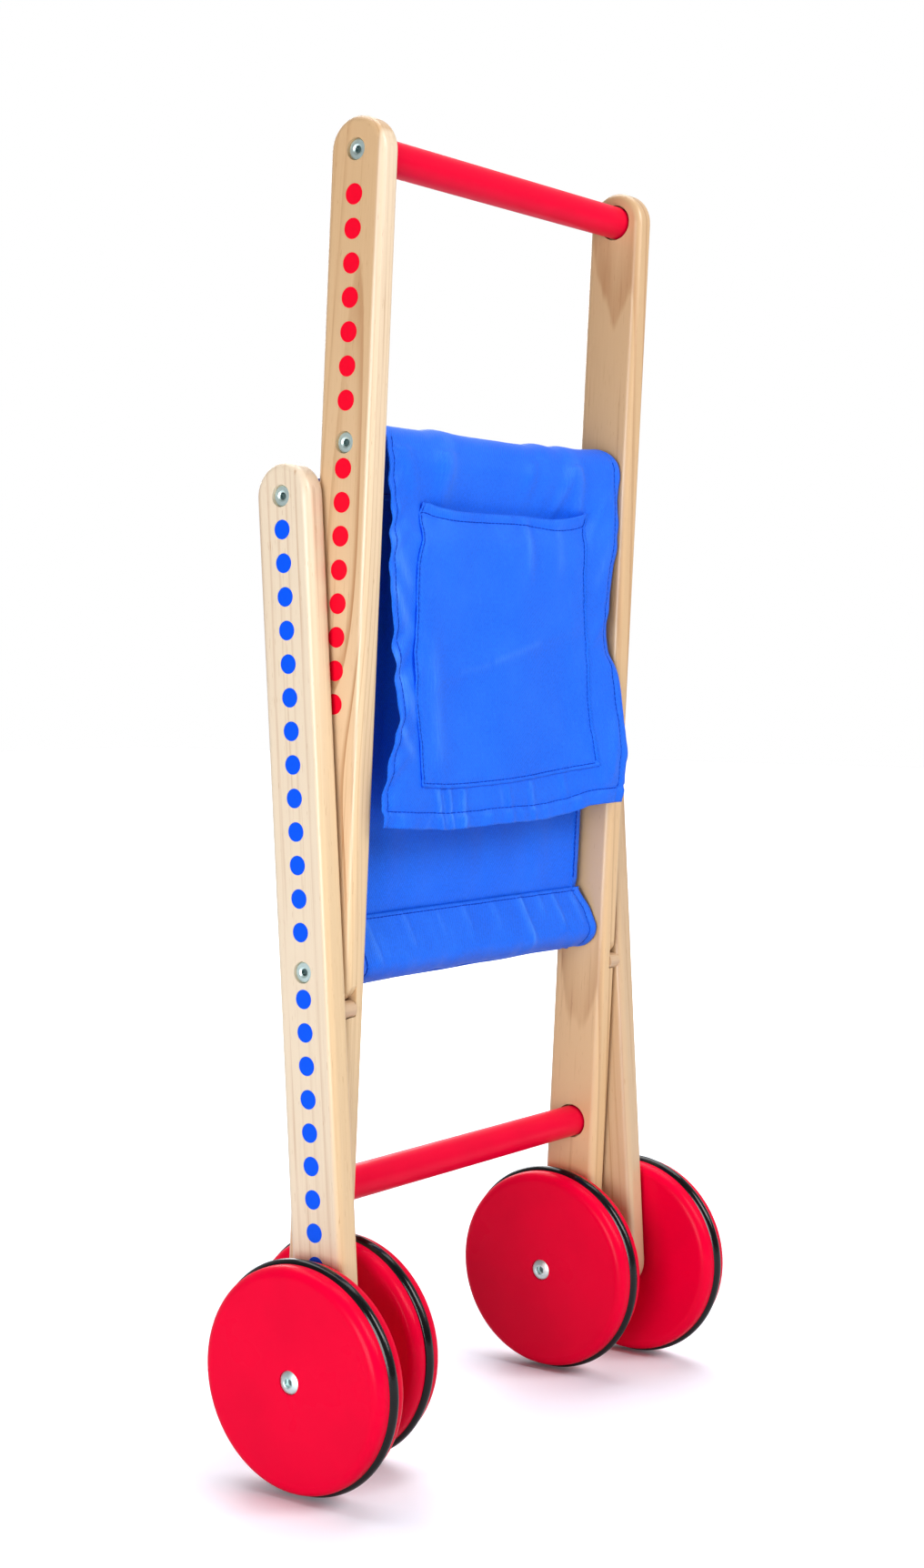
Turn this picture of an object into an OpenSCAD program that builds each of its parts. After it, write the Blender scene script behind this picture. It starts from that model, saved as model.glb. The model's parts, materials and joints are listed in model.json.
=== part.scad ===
// Doll's pushchair with a folding cross frame, standing folded on its four wheels.
// X runs across the pushchair, +Y is the way it rolls and Z is up.
// The floor is Z = 0 and the pivot of the cross frame is above the origin.

/* [Cross frame] */
// Clear width between the two handle rails
inner_w = 198; // [150:1:260]
// Width of every rail, from front edge to back edge
rail_w = 30; // [26:1:36]
// Thickness of every rail
rail_t = 13; // [12:0.5:18]
// Radius of the rounded rail edges
rail_round = 3.5; // [1:0.5:5]
// Gap between a handle rail and the seat rail beside it
rail_gap = 1.5; // [1:0.25:4]
// Gap left between the seat's front rod and the handle rails when folded
fold_gap = 0.4; // [0.3:0.1:2]
// Pivot to handle bar, along the handle rail
handle_up = 364.5; // [320:0.5:420]
// Pivot to backrest rod, along the handle rail
backrest_up = 236.5; // [210:0.5:260]
// Pivot to lower bar, along the handle rail
lower_down = 103; // [80:0.5:115]
// Pivot to the seat's front rod, along the seat rail
seat_rod_up = 213; // [190:0.5:230]
// Pivot to wheel axle, along every rail
axle_down = 179; // [170:0.5:220]

/* [Bars and rods] */
// Diameter of the painted bars and of the rods inside the cloth
bar_d = 16; // [14:0.5:18]
// Room round a bar in its socket, on each side
socket_play = 0.8; // [0.2:0.1:1.5]
// Depth of a bar's socket in a rail
socket_depth = 5; // [3:0.5:6]

/* [Folding stop] */
// Diameter of the stop dowel in each seat rail
stop_d = 8; // [6:0.5:9]
// Stop dowel in front of the pivot when folded
stop_fwd = 12; // [11:0.5:13]
// Stop dowel below the pivot when folded
stop_down = 17; // [16:0.5:19]
// Length of the stop dowel that is glued into the seat rail
stop_glued = 8; // [5:0.5:9]
// Length of the stop dowel inside the handle rail's notch
stop_reach = 5.7; // [4:0.1:7]
// Room round the stop dowel in its notch
stop_room = 0.5; // [0.3:0.1:1]

/* [Wheels] */
// Diameter of the wooden wheel disc
wheel_d = 102; // [90:1:110]
// Thickness of the wheel disc
wheel_t = 20; // [16:0.5:24]
// Radius of the rounded wheel rim
wheel_round = 5; // [2:0.5:6]
// Diameter of the tyre ring's round section
tyre_d = 6; // [4:0.5:7]
// How far the tyre stands out of the wheel
tyre_proud = 2; // [1:0.25:3]
// Gap between a wheel and its rail, filled by a washer
hub_gap = 2; // [1:0.25:4]

/* [Rail bolts] */
// Shank diameter of a rail bolt
bolt_d = 5; // [4:0.5:6]
// Head diameter of a rail bolt
bolt_head_d = 9.5; // [9:0.5:12]
// Head height of a rail bolt
bolt_head_h = 2.8; // [2:0.1:3.5]
// Width across the flats of a rail bolt's hexagon socket
bolt_key = 3; // [2.5:0.5:4]
// Chamfer round the top of a rail bolt's head
head_chamfer = 0.5; // [0.2:0.1:1]
// Width of the flare round the mouth of a hexagon socket
key_flare = 0.8; // [0.3:0.1:1]
// Outer diameter of the threaded insert in a bar's end
insert_d = 8; // [7:0.5:9]
// Length of the threaded insert in a bar's end
insert_len = 12; // [8:0.5:16]

/* [Axle bolts] */
// Shank diameter of an axle bolt
axle_d = 6; // [5:0.5:8]
// Head diameter of an axle bolt
axle_head_d = 10.5; // [10:0.5:14]
// Head height of an axle bolt
axle_head_h = 3.3; // [2.5:0.1:4]
// Width across the flats of an axle bolt's hexagon socket
axle_key = 4; // [3:0.5:5]
// How far the dome of an axle bolt stands out of the wheel's face
axle_head_up = 0.7; // [0:0.1:1.5]
// Outer diameter of the threaded insert that holds an axle bolt
axle_insert_d = 9; // [8.5:0.5:11]
// Length of the threaded insert that holds an axle bolt
axle_insert_len = 10; // [7:0.5:11]

/* [Fits] */
// Room round a turning shank, on each side
run_fit = 0.05; // [0.01:0.01:0.1]
// Play along the axle between turning faces
end_play = 0.15; // [0.05:0.05:0.5]
// Room round a shank in a plain bolt hole, on each side
hole_room = 0.25; // [0.1:0.05:0.5]
// Room round a bolt head in its recess, on each side
head_room = 0.2; // [0.1:0.1:1]
// How far a rail bolt's head lies below the rail's face
head_sink = 1.2; // [0:0.1:2]
// Width of a washer's ring around its hole
washer_ring = 4.5; // [3:0.5:6]

/* [Cloth] */
// Thickness of the cloth
cloth_t = 1.2; // [0.8:0.1:1.6]
// Cloth edges to the handle rails, on each side
sling_side = 4; // [2:0.5:10]
// Tunnel ends to the handle rails, on each side
tunnel_side = 1; // [0.5:0.5:5]
// Rod to the seam that closes its tunnel
seam_from_rod = 20; // [16:0.5:26]
// Room between the rolled cloth and the seat cloth that turns round it
roll_room = 0.4; // [0.3:0.1:1]
// Turn of seat cloth that hugs the roll below the pivot, in degrees
hug_turn = 70; // [30:5:90]

/* [Hanging flap] */
// Flap's top edges to the handle rails, on each side
flap_side = 2; // [1.5:0.5:10]
// How far the flap's hem reaches past the handle rails' inner faces
flap_flare = 2; // [0:0.5:6]
// Backrest rod to the flap's hem, straight down
flap_drop = 170; // [140:1:190]
// Depth of the flap's folds at the hem
fold_depth = 3; // [0.5:0.5:6]
// Number of folds across the flap
fold_count = 3; // [1:1:5]
// Width of the pocket
pocket_w = 141; // [90:1:146]
// Height of the pocket
pocket_h = 129; // [60:1:132]
// Flap's hem to the pocket's lower edge
pocket_low = 16; // [10:1:30]
// How far the pocket's mouth stands open
pocket_bulge = 3; // [1:0.5:6]

/* [Hidden] */
$fn = 64;

LEFT = -1;
RIGHT = 1;
pine = "burlywood";
red = "crimson";
blue = "royalblue";
zinc = "silver";

// Cutters run past the face that they open by this much
over = 1;
// Faces across the frame, from the middle outwards
rail_in = inner_w / 2;
rail_out = rail_in + rail_t;
seat_rail_in = rail_out + rail_gap;
seat_rail_out = seat_rail_in + rail_t;
bar_end = rail_in + socket_depth;
seat_rod_end = seat_rail_in + socket_depth;

// Folded, the seat's front rod lies against the back edges of the handle rails
fold_half = asin((rail_w / 2 + bar_d / 2 + fold_gap) / seat_rod_up) / 2;
tyre_r = wheel_d / 2 + tyre_proud;
pivot_z = tyre_r + axle_down * cos(fold_half);

// Share of a bolt head's height taken by its hexagon socket, and by its straight rim under a dome
key_share = 0.75;
rim_share = 0.55;
// Depth of the flare round a hexagon socket, as a share of its width
flare_share = 0.6;
// Recesses that hold the bolt heads
recess_depth = bolt_head_h + head_sink;
recess_d = bolt_head_d + 2 * head_room;
axle_recess_depth = axle_head_h - axle_head_up;
axle_recess_d = axle_head_d + 2 * head_room;

// The stop dowel's path round the pivot
stop_radius = norm([stop_fwd, stop_down]);
stop_angle = atan2(stop_down, stop_fwd);
notch_w = stop_d + 2 * stop_room;
notch_depth = stop_reach + stop_room;

// Cloth round the rods, the hanging flap and its pocket
roll_r = bar_d / 2 + cloth_t;
seat_roll_r = roll_r + roll_room + cloth_t / 2;
backrest_y = -backrest_up * sin(fold_half);
backrest_z = pivot_z + backrest_up * cos(fold_half);
// Quarter turn of the flap over the top of the backrest rod
flap_wrap = 90;
// Share of the drop over which the flap keeps its top width, between the rails
flare_start = 0.68;
// Sideways drift of the folds from rod to hem, in degrees of one fold
fold_drift = 60;
// Rows and columns of points in the cloth, and points round its rolls
wrap_steps = 5;
drop_steps = 18;
flap_cols = 22;
pocket_rows = 12;
pocket_cols = 14;
roll_steps = 32;
hug_steps = 12;

// Places in the two halves of the cross frame, measured from the pivot
module handle_half() {
    translate([0, 0, pivot_z]) rotate([fold_half, 0, 0]) children();
}

module seat_half() {
    translate([0, 0, pivot_z]) rotate([-fold_half, 0, 0]) children();
}

module on_side(side) {
    if (side == LEFT) mirror([1, 0, 0]) children();
    else children();
}

module both_sides() {
    for (side = [LEFT, RIGHT]) on_side(side) children();
}

module up(z) {
    translate([0, 0, z]) children();
}

// Round bar along X from one face to another
module along_x(from, to, d) {
    translate([from, 0, 0]) rotate([0, 90, 0]) cylinder(d = d, h = to - from);
}

// Round ring along X
module ring_x(from, to, d_out, d_in) {
    difference() {
        along_x(from, to, d_out);
        along_x(from - over, to + over, d_in);
    }
}

// Flat outline in the Y and Z plane, spread evenly across the frame
module across(w) {
    translate([-w / 2, 0, 0]) rotate([90, 0, 90]) linear_extrude(w) children();
}

// Right half of a rounded oblong that stands on Y = 0
module round_half(w, h, r) {
    square([w - r, h]);
    translate([0, r]) square([w, h - 2 * r]);
    for (y = [r, h - r]) translate([w - r, y]) circle(r);
}

module round_oblong(w, h, r) {
    round_half(w / 2, h, r);
    mirror([1, 0]) round_half(w / 2, h, r);
}

// Half of a disc with a rounded rim, lying on Z = 0
module round_end(turn) {
    rotate([0, 0, turn]) rotate_extrude(angle = 180) intersection() {
        round_half(rail_w / 2, rail_t, rail_round);
        translate([0, -over]) square([rail_w, rail_t + 2 * over]);
    }
}

// Rail with half-round ends, its inner face at x_in
module rail_blank(x_in, rise, fall) {
    translate([x_in, 0, 0]) rotate([90, 0, 90]) {
        translate([0, rise, 0]) rotate([90, 0, 0]) linear_extrude(rise + fall)
            round_oblong(rail_w, rail_t, rail_round);
        translate([0, rise, 0]) round_end(0);
        translate([0, -fall, 0]) round_end(180);
    }
}

// Socket for a bar's end, with the hole for its bolt
module bar_socket(x_in, x_out) {
    along_x(x_in - over, x_in + socket_depth, bar_d + 2 * socket_play);
    along_x(x_in, x_out + over, bolt_d + 2 * hole_room);
}

module bolt_recess(x_out) {
    along_x(x_out - recess_depth, x_out + over, recess_d);
}

// Path of the stop dowel, cut into the handle rail's outer face and open at its front edge
module stop_notch() {
    translate([rail_out - notch_depth, 0, 0]) rotate([90, 0, 90]) {
        rotate([0, 0, 180]) rotate_extrude(angle = stop_angle)
            translate([stop_radius - notch_w / 2, 0]) square([notch_w, notch_depth + over]);
        translate([-stop_fwd, -stop_down, 0]) cylinder(d = notch_w, h = notch_depth + over);
    }
}

module stop_place(side) {
    handle_half() on_side(side) translate([0, -stop_fwd, -stop_down]) children();
}

module handle_rail(side) {
    color(pine) handle_half() on_side(side) difference() {
        rail_blank(rail_in, handle_up, axle_down);
        for (z = [handle_up, backrest_up, 0, -lower_down]) up(z) bar_socket(rail_in, rail_out);
        for (z = [handle_up, backrest_up, -lower_down]) up(z) bolt_recess(rail_out);
        up(-axle_down) along_x(rail_in - over, rail_in + axle_insert_len, axle_insert_d);
        stop_notch();
    }
}

module seat_rail(side) {
    color(pine) difference() {
        seat_half() on_side(side) difference() {
            rail_blank(seat_rail_in, seat_rod_up, axle_down);
            up(seat_rod_up) bar_socket(seat_rail_in, seat_rail_out);
            up(seat_rod_up) bolt_recess(seat_rail_out);
            along_x(seat_rail_in - over, seat_rail_out + over, bolt_d + 2 * run_fit);
            bolt_recess(seat_rail_out);
            up(-axle_down)
                along_x(seat_rail_out - axle_insert_len, seat_rail_out + over, axle_insert_d);
        }
        stop_place(side) along_x(seat_rail_in - over, seat_rail_in + stop_glued, stop_d);
    }
}

module stop_dowel(side) {
    color(pine) stop_place(side) along_x(rail_out - stop_reach, seat_rail_in + stop_glued, stop_d);
}

// Bar or rod with a hole for a threaded insert in each end
module bar(end) {
    difference() {
        along_x(-end, end, bar_d);
        both_sides() along_x(end - insert_len, end + over, insert_d);
    }
}

module bar_inserts(end) {
    color(zinc) both_sides() ring_x(end - insert_len, end, insert_d, bolt_d);
}

// Hexagon socket cut down from zero, with a flared mouth
module key_socket(flats, depth) {
    corners = flats / cos(30);
    flare = key_flare * flare_share;
    slope = over / flare_share;
    translate([0, 0, -depth]) cylinder(d = corners, h = depth + over, $fn = 6);
    translate([0, 0, -flare]) cylinder(d1 = corners, d2 = corners + 2 * (key_flare + slope), h = flare + over);
}

// Bolt along Z with the top of its head at zero
module flat_bolt(shank) {
    difference() {
        union() {
            translate([0, 0, -bolt_head_h]) cylinder(d = bolt_head_d, h = bolt_head_h - head_chamfer);
            translate([0, 0, -head_chamfer])
                cylinder(d1 = bolt_head_d, d2 = bolt_head_d - 2 * head_chamfer, h = head_chamfer);
            translate([0, 0, -bolt_head_h - shank]) cylinder(d = bolt_d, h = shank);
        }
        key_socket(bolt_key, bolt_head_h * key_share);
    }
}

// Bolt along Z with a domed head, the top of its dome at zero
module domed_bolt(shank) {
    dome = axle_head_h * (1 - rim_share);
    dome_r = (pow(axle_head_d / 2, 2) + pow(dome, 2)) / (2 * dome);
    difference() {
        union() {
            rotate_extrude() intersection() {
                translate([0, -dome_r]) circle(dome_r);
                translate([0, -axle_head_h]) square([axle_head_d / 2, axle_head_h + over]);
            }
            translate([0, 0, -axle_head_h - shank]) cylinder(d = axle_d, h = shank);
        }
        key_socket(axle_key, axle_head_h * key_share);
    }
}

// Bolts of one bar, through the rails into the inserts
module bar_bolts(x_out, end) {
    shank = x_out - recess_depth - end + insert_len;
    color(zinc) both_sides() translate([x_out - head_sink, 0, 0]) rotate([0, 90, 0]) flat_bolt(shank);
}

module pivot_bolts() {
    under_head = seat_rail_out - recess_depth + end_play;
    shank = under_head - bar_end + insert_len;
    color(zinc) handle_half() both_sides() translate([seat_rail_out - head_sink + end_play, 0, 0])
        rotate([0, 90, 0]) flat_bolt(shank);
}

module pivot_washers() {
    color("white") handle_half() both_sides()
        ring_x(rail_out, seat_rail_in - end_play, bolt_d + 2 * washer_ring, bolt_d + 2 * run_fit);
}

// A wheel sits on Z = 0 with its rail below, so the bolt head is at the top
module wheel_disc() {
    difference() {
        rotate_extrude() difference() {
            round_half(wheel_d / 2, wheel_t, wheel_round);
            translate([tyre_r - tyre_d / 2, wheel_t / 2]) circle(d = tyre_d);
        }
        translate([0, 0, -over]) cylinder(d = axle_d + 2 * run_fit, h = wheel_t + 2 * over);
        translate([0, 0, wheel_t - axle_recess_depth])
            cylinder(d = axle_recess_d, h = axle_recess_depth + over);
    }
}

module tyre_ring() {
    translate([0, 0, wheel_t / 2]) rotate_extrude() translate([tyre_r - tyre_d / 2, 0]) circle(d = tyre_d);
}

// The front wheels run inside the handle rails and the rear wheels outside the seat rails
module front_place(side) {
    handle_half() on_side(side) translate([rail_in, 0, -axle_down]) rotate([0, -90, 0]) children();
}

module rear_place(side) {
    seat_half() on_side(side) translate([seat_rail_out, 0, -axle_down]) rotate([0, 90, 0]) children();
}

module axle_bolt() {
    shank = axle_insert_len + hub_gap + wheel_t - axle_recess_depth + end_play;
    color(zinc) translate([0, 0, hub_gap + wheel_t + axle_head_up + end_play]) domed_bolt(shank);
}

module axle_washer() {
    color("white") difference() {
        cylinder(d = axle_d + 2 * washer_ring, h = hub_gap - end_play);
        translate([0, 0, -over]) cylinder(d = axle_d + 2 * run_fit, h = hub_gap + over);
    }
}

module axle_insert() {
    color(zinc) translate([0, 0, -axle_insert_len]) difference() {
        cylinder(d = axle_insert_d, h = axle_insert_len);
        translate([0, 0, -over]) cylinder(d = axle_d, h = axle_insert_len + 2 * over);
    }
}

module wheel() {
    color(red) translate([0, 0, hub_gap]) wheel_disc();
}

module tyre() {
    color("black") translate([0, 0, hub_gap]) tyre_ring();
}

// Drop-shaped outline of cloth round a rod, drawn out to a tip above the rod
function drop_points(r, tip) = let (lean = asin(r / tip), step = (180 + 2 * lean) / roll_steps) concat(
    [for (i = [0 : roll_steps]) let (a = 180 - lean + i * step) [r * cos(a), r * sin(a)]],
    [[0, tip]]
);

// The hollow above the rod is drawn a little smaller than the rod, so that the rod's circle is the fit
module tunnel(tip) {
    hollow_r = bar_d / 2 - cloth_t / 4;
    difference() {
        polygon(drop_points(roll_r, tip));
        circle(bar_d / 2);
        polygon(drop_points(hollow_r, tip * hollow_r / roll_r));
    }
}

module backrest_sling() {
    color(blue) handle_half() {
        across(inner_w - 2 * tunnel_side) tunnel(seam_from_rod);
        across(inner_w - 2 * tunnel_side) translate([0, backrest_up]) mirror([0, 1]) tunnel(seam_from_rod);
        across(inner_w - 2 * sling_side) translate([-cloth_t / 2, seam_from_rod - cloth_t])
            square([cloth_t, backrest_up - 2 * (seam_from_rod - cloth_t)]);
    }
}

module seat_sling() {
    tip = seat_rod_up - seam_from_rod;
    lean = asin(seat_roll_r / tip);
    r_in = seat_roll_r - cloth_t / 2;
    r_out = seat_roll_r + cloth_t / 2;
    turns = [for (i = [0 : hug_steps]) -hug_turn * i / hug_steps];
    color(blue) seat_half() {
        across(inner_w - 2 * sling_side) rotate(lean) {
            translate([r_in, 0]) square([cloth_t, tip * cos(lean) + 2 * cloth_t]);
            polygon(concat(
                [for (a = turns) [r_out * cos(a), r_out * sin(a)]],
                [for (i = [hug_steps : -1 : 0]) [r_in * cos(turns[i]), r_in * sin(turns[i])]]
            ));
        }
        across(inner_w - 2 * tunnel_side) translate([0, seat_rod_up]) mirror([0, 1]) tunnel(seam_from_rod);
    }
}

// Smooth rise from 0 to 1
function ease(k) = let (c = min(max(k, 0), 1)) c * c * (3 - 2 * c);

// The flap lies over the top of the backrest rod and hangs straight down in front of it.
// across runs from -1 to 1, down from 0 at the rod's level to 1 at the hem.
function flap_half(down) = let (flare = ease((down - flare_start) / (1 - flare_start)))
    inner_w / 2 - flap_side + (flap_flare + flap_side) * flare;
function flap_fold(across, down) =
    fold_depth * ease(down) * (0.5 - 0.5 * cos(180 * fold_count * (across + 1) + fold_drift * down));
function hanging_point(across, down, out) = [
    across * flap_half(down),
    backrest_y - roll_r - out - flap_fold(across, down),
    backrest_z - flap_drop * down
];
function wrapped_point(across, turn, out) = [
    across * flap_half(0),
    backrest_y - (roll_r + out) * sin(turn),
    backrest_z + (roll_r + out) * cos(turn)
];

// Closed solid between two sheets of the same rows and columns of points
module sheet(front, back) {
    rows = len(front);
    cols = len(front[0]);
    points = concat([for (row = front) each row], [for (row = back) each row]);
    base = rows * cols;
    cells = [for (i = [0 : rows - 2], j = [0 : cols - 2]) i * cols + j];
    rim = concat(
        [for (j = [0 : cols - 2]) [j, j + 1]],
        [for (i = [0 : rows - 2]) [i * cols + cols - 1, (i + 1) * cols + cols - 1]],
        [for (j = [cols - 2 : -1 : 0]) [(rows - 1) * cols + j + 1, (rows - 1) * cols + j]],
        [for (i = [rows - 2 : -1 : 0]) [(i + 1) * cols, i * cols]]
    );
    faces = concat(
        [for (c = cells) each [[c, c + cols + 1, c + cols], [c, c + 1, c + cols + 1]]],
        [for (c = cells) each [[base + c, base + c + cols, base + c + cols + 1],
                               [base + c, base + c + cols + 1, base + c + 1]]],
        [for (e = rim) each [[e[0], base + e[0], base + e[1]], [e[0], base + e[1], e[1]]]]
    );
    polyhedron(points, faces);
}

function flap_sheet(out) = concat(
    [for (i = [0 : wrap_steps - 1])
        [for (j = [0 : flap_cols]) wrapped_point(2 * j / flap_cols - 1, flap_wrap * i / wrap_steps, out)]],
    [for (i = [0 : drop_steps])
        [for (j = [0 : flap_cols]) hanging_point(2 * j / flap_cols - 1, i / drop_steps, out)]]
);

module pocket_flap() {
    color(blue) sheet(flap_sheet(cloth_t), flap_sheet(0));
}

// The pocket is sewn along its sides and lower edge, and its mouth stands a little open
function pocket_gap(side, rise) = pocket_bulge * (1 - pow(side, 4)) * ease(rise);
function pocket_point(side, rise, out) = let (
    down = 1 - (pocket_low + pocket_h * rise) / flap_drop,
    across = side * pocket_w / 2 / flap_half(down)
) hanging_point(across, down, cloth_t + out + pocket_gap(side, rise));
function pocket_sheet(out) = [for (i = [pocket_rows : -1 : 0])
    [for (j = [0 : pocket_cols]) pocket_point(2 * j / pocket_cols - 1, i / pocket_rows, out)]];

module flap_pocket() {
    color(blue) sheet(pocket_sheet(cloth_t), pocket_sheet(0));
}

// Bars, their inserts and their bolts
module handle_bar() {
    color(red) handle_half() up(handle_up) bar(bar_end);
}

module lower_bar() {
    color(red) handle_half() up(-lower_down) bar(bar_end);
}

module backrest_rod() {
    color(pine) handle_half() up(backrest_up) bar(bar_end);
}

module pivot_rod() {
    color(pine) handle_half() bar(bar_end);
}

module seat_front_rod() {
    color(pine) seat_half() up(seat_rod_up) bar(seat_rod_end);
}

module handle_bar_inserts() {
    handle_half() up(handle_up) bar_inserts(bar_end);
}

module lower_bar_inserts() {
    handle_half() up(-lower_down) bar_inserts(bar_end);
}

module backrest_rod_inserts() {
    handle_half() up(backrest_up) bar_inserts(bar_end);
}

module pivot_rod_inserts() {
    handle_half() bar_inserts(bar_end);
}

module seat_front_rod_inserts() {
    seat_half() up(seat_rod_up) bar_inserts(seat_rod_end);
}

module handle_bar_bolts() {
    handle_half() up(handle_up) bar_bolts(rail_out, bar_end);
}

module lower_bar_bolts() {
    handle_half() up(-lower_down) bar_bolts(rail_out, bar_end);
}

module backrest_rod_bolts() {
    handle_half() up(backrest_up) bar_bolts(rail_out, bar_end);
}

module seat_front_rod_bolts() {
    seat_half() up(seat_rod_up) bar_bolts(seat_rail_out, seat_rod_end);
}

// Inserts and washers of the axles
module front_axle_inserts() {
    for (side = [LEFT, RIGHT]) front_place(side) axle_insert();
}

module rear_axle_inserts() {
    for (side = [LEFT, RIGHT]) rear_place(side) axle_insert();
}

module front_axle_washers() {
    for (side = [LEFT, RIGHT]) front_place(side) axle_washer();
}

module rear_axle_washers() {
    for (side = [LEFT, RIGHT]) rear_place(side) axle_washer();
}

handle_rail(LEFT);  // handle_rail_left
handle_rail(RIGHT);  // handle_rail_right
seat_rail(LEFT);  // seat_rail_left
seat_rail(RIGHT);  // seat_rail_right
handle_bar();
lower_bar();
backrest_rod();
pivot_rod();
seat_front_rod();
handle_bar_inserts();
lower_bar_inserts();
backrest_rod_inserts();
pivot_rod_inserts();
seat_front_rod_inserts();
handle_bar_bolts();
lower_bar_bolts();
backrest_rod_bolts();
pivot_bolts();
seat_front_rod_bolts();
pivot_washers();
stop_dowel(LEFT);  // stop_dowel_left
stop_dowel(RIGHT);  // stop_dowel_right
front_axle_inserts();
rear_axle_inserts();
front_axle_washers();
rear_axle_washers();
front_place(LEFT) axle_bolt();  // front_axle_bolt_left
front_place(RIGHT) axle_bolt();  // front_axle_bolt_right
rear_place(LEFT) axle_bolt();  // rear_axle_bolt_left
rear_place(RIGHT) axle_bolt();  // rear_axle_bolt_right
front_place(LEFT) wheel();  // front_wheel_left
front_place(RIGHT) wheel();  // front_wheel_right
rear_place(LEFT) wheel();  // rear_wheel_left
rear_place(RIGHT) wheel();  // rear_wheel_right
front_place(LEFT) tyre();  // front_tyre_left
front_place(RIGHT) tyre();  // front_tyre_right
rear_place(LEFT) tyre();  // rear_tyre_left
rear_place(RIGHT) tyre();  // rear_tyre_right
backrest_sling();
seat_sling();
pocket_flap();
flap_pocket();
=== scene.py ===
"""Folding doll's pushchair: finishes, printed dots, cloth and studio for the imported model."""

import json
import math

import bmesh
import bpy
from bpy.props import FloatProperty, FloatVectorProperty, IntProperty, PointerProperty
from mathutils import Euler, Matrix, Vector, noise


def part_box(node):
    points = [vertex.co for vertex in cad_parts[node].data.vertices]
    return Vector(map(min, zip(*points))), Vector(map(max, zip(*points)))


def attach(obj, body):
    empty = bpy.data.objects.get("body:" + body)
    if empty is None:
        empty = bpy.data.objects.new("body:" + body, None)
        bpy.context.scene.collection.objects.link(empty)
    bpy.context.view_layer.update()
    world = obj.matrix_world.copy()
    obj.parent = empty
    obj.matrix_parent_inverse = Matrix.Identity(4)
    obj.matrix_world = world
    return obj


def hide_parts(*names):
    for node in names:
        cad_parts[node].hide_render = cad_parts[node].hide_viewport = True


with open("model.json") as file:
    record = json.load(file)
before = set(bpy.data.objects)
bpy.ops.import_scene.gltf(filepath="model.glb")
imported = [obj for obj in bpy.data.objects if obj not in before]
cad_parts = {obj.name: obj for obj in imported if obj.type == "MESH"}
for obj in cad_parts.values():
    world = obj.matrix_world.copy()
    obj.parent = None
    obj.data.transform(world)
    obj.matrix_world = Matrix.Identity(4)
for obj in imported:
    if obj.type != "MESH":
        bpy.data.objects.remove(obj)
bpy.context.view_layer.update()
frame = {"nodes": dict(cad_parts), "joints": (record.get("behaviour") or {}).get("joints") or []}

bl_info = {
    "name": "Folding Doll Pushchair",
    "version": (1, 0, 0),
    "blender": (4, 5, 0),
    "location": "View3D > Sidebar > Pushchair",
    "description": "Dresses the packed pushchair with its finishes, printed dots, cloth and studio",
    "category": "Object",
}

MM = 0.001
LEFT, RIGHT = -1, 1
FRONT, BACK = (0, -1, 0), (0, 1, 0)


def joint_place(name):
    """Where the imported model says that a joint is, in metres."""
    return Vector(next(j["pos_m"] for j in frame["joints"] if j["name"] == name))


PIVOT = joint_place("fold")
FRONT_AXLE = joint_place("front_right_wheel_spin")
LEAN = math.atan2(FRONT_AXLE.y, PIVOT.z - FRONT_AXLE.z)
HANDLE_HALF = Matrix.Translation(Vector((0, 0, PIVOT.z))) @ Matrix.Rotation(LEAN, 4, "X")
SEAT_HALF = Matrix.Translation(Vector((0, 0, PIVOT.z))) @ Matrix.Rotation(-LEAN, 4, "X")
BACKREST_REACH = 236.5


def length(name, description, millimetres):
    """A length in metres for the sidebar."""
    return FloatProperty(
        name=name, description=description, default=millimetres * MM, unit="LENGTH", precision=5
    )


def colour(name, description, default):
    """A colour for the sidebar."""
    return FloatVectorProperty(
        name=name, description=description, default=default, subtype="COLOR", size=3, min=0, max=1
    )


def power(name, description, watts):
    """A lamp's power for the sidebar."""
    return FloatProperty(name=name, description=description, default=watts, unit="POWER")


def angle(name, description, degrees):
    """An angle for the sidebar."""
    return FloatProperty(name=name, description=description, default=math.radians(degrees), subtype="ANGLE")


class PushchairRails(bpy.types.PropertyGroup):
    """Sizes of the frame that the dots and the cloth follow"""

    inner_width: length("Clear width", "Distance between the two handle rails", 198)
    rail_thickness: length("Rail thickness", "Thickness of every rail", 13)
    rail_gap: length("Rail gap", "Gap between a handle rail and the seat rail beside it", 1.5)
    handle_reach: length("Handle reach", "Pivot to handle bar along the rail", 364.5)
    backrest_reach: length("Backrest reach", "Pivot to backrest rod along the rail", BACKREST_REACH)
    seat_reach: length("Seat reach", "Pivot to the seat's front rod along the rail", 213)
    axle_reach: length("Axle reach", "Pivot to axle along the rail", 179)


class PushchairDots(bpy.types.PropertyGroup):
    """Sizes of the rows of printed dots"""

    pitch: length("Pitch", "Distance from one dot to the next", 15)
    red_start: length("First red dot", "Handle bar's bolt to the first red dot", 19.5)
    red_count: IntProperty(name="Red places", description="Places in a red row, with the bolt's", default=16)
    red_diameter: length("Red dot", "Diameter of a red dot", 9.3)
    blue_diameter: length("Blue dot", "Diameter of a blue dot", 8.8)
    film: length("Paint film", "Thickness of the printed paint", 0.08)


class PushchairCloth(bpy.types.PropertyGroup):
    """Sizes of the cloth and its sewing"""

    thickness: length("Cloth", "Thickness of the cloth", 0.7)
    seam: length("Tunnel seam", "Rod to the seam that closes its tunnel", 21)
    stitch: length("Stitch", "Length of one stitch", 3.2)
    stitch_step: length("Stitch step", "Distance from one stitch to the next", 2.75)
    thread: length("Thread", "Thickness of the thread", 0.6)


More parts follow.
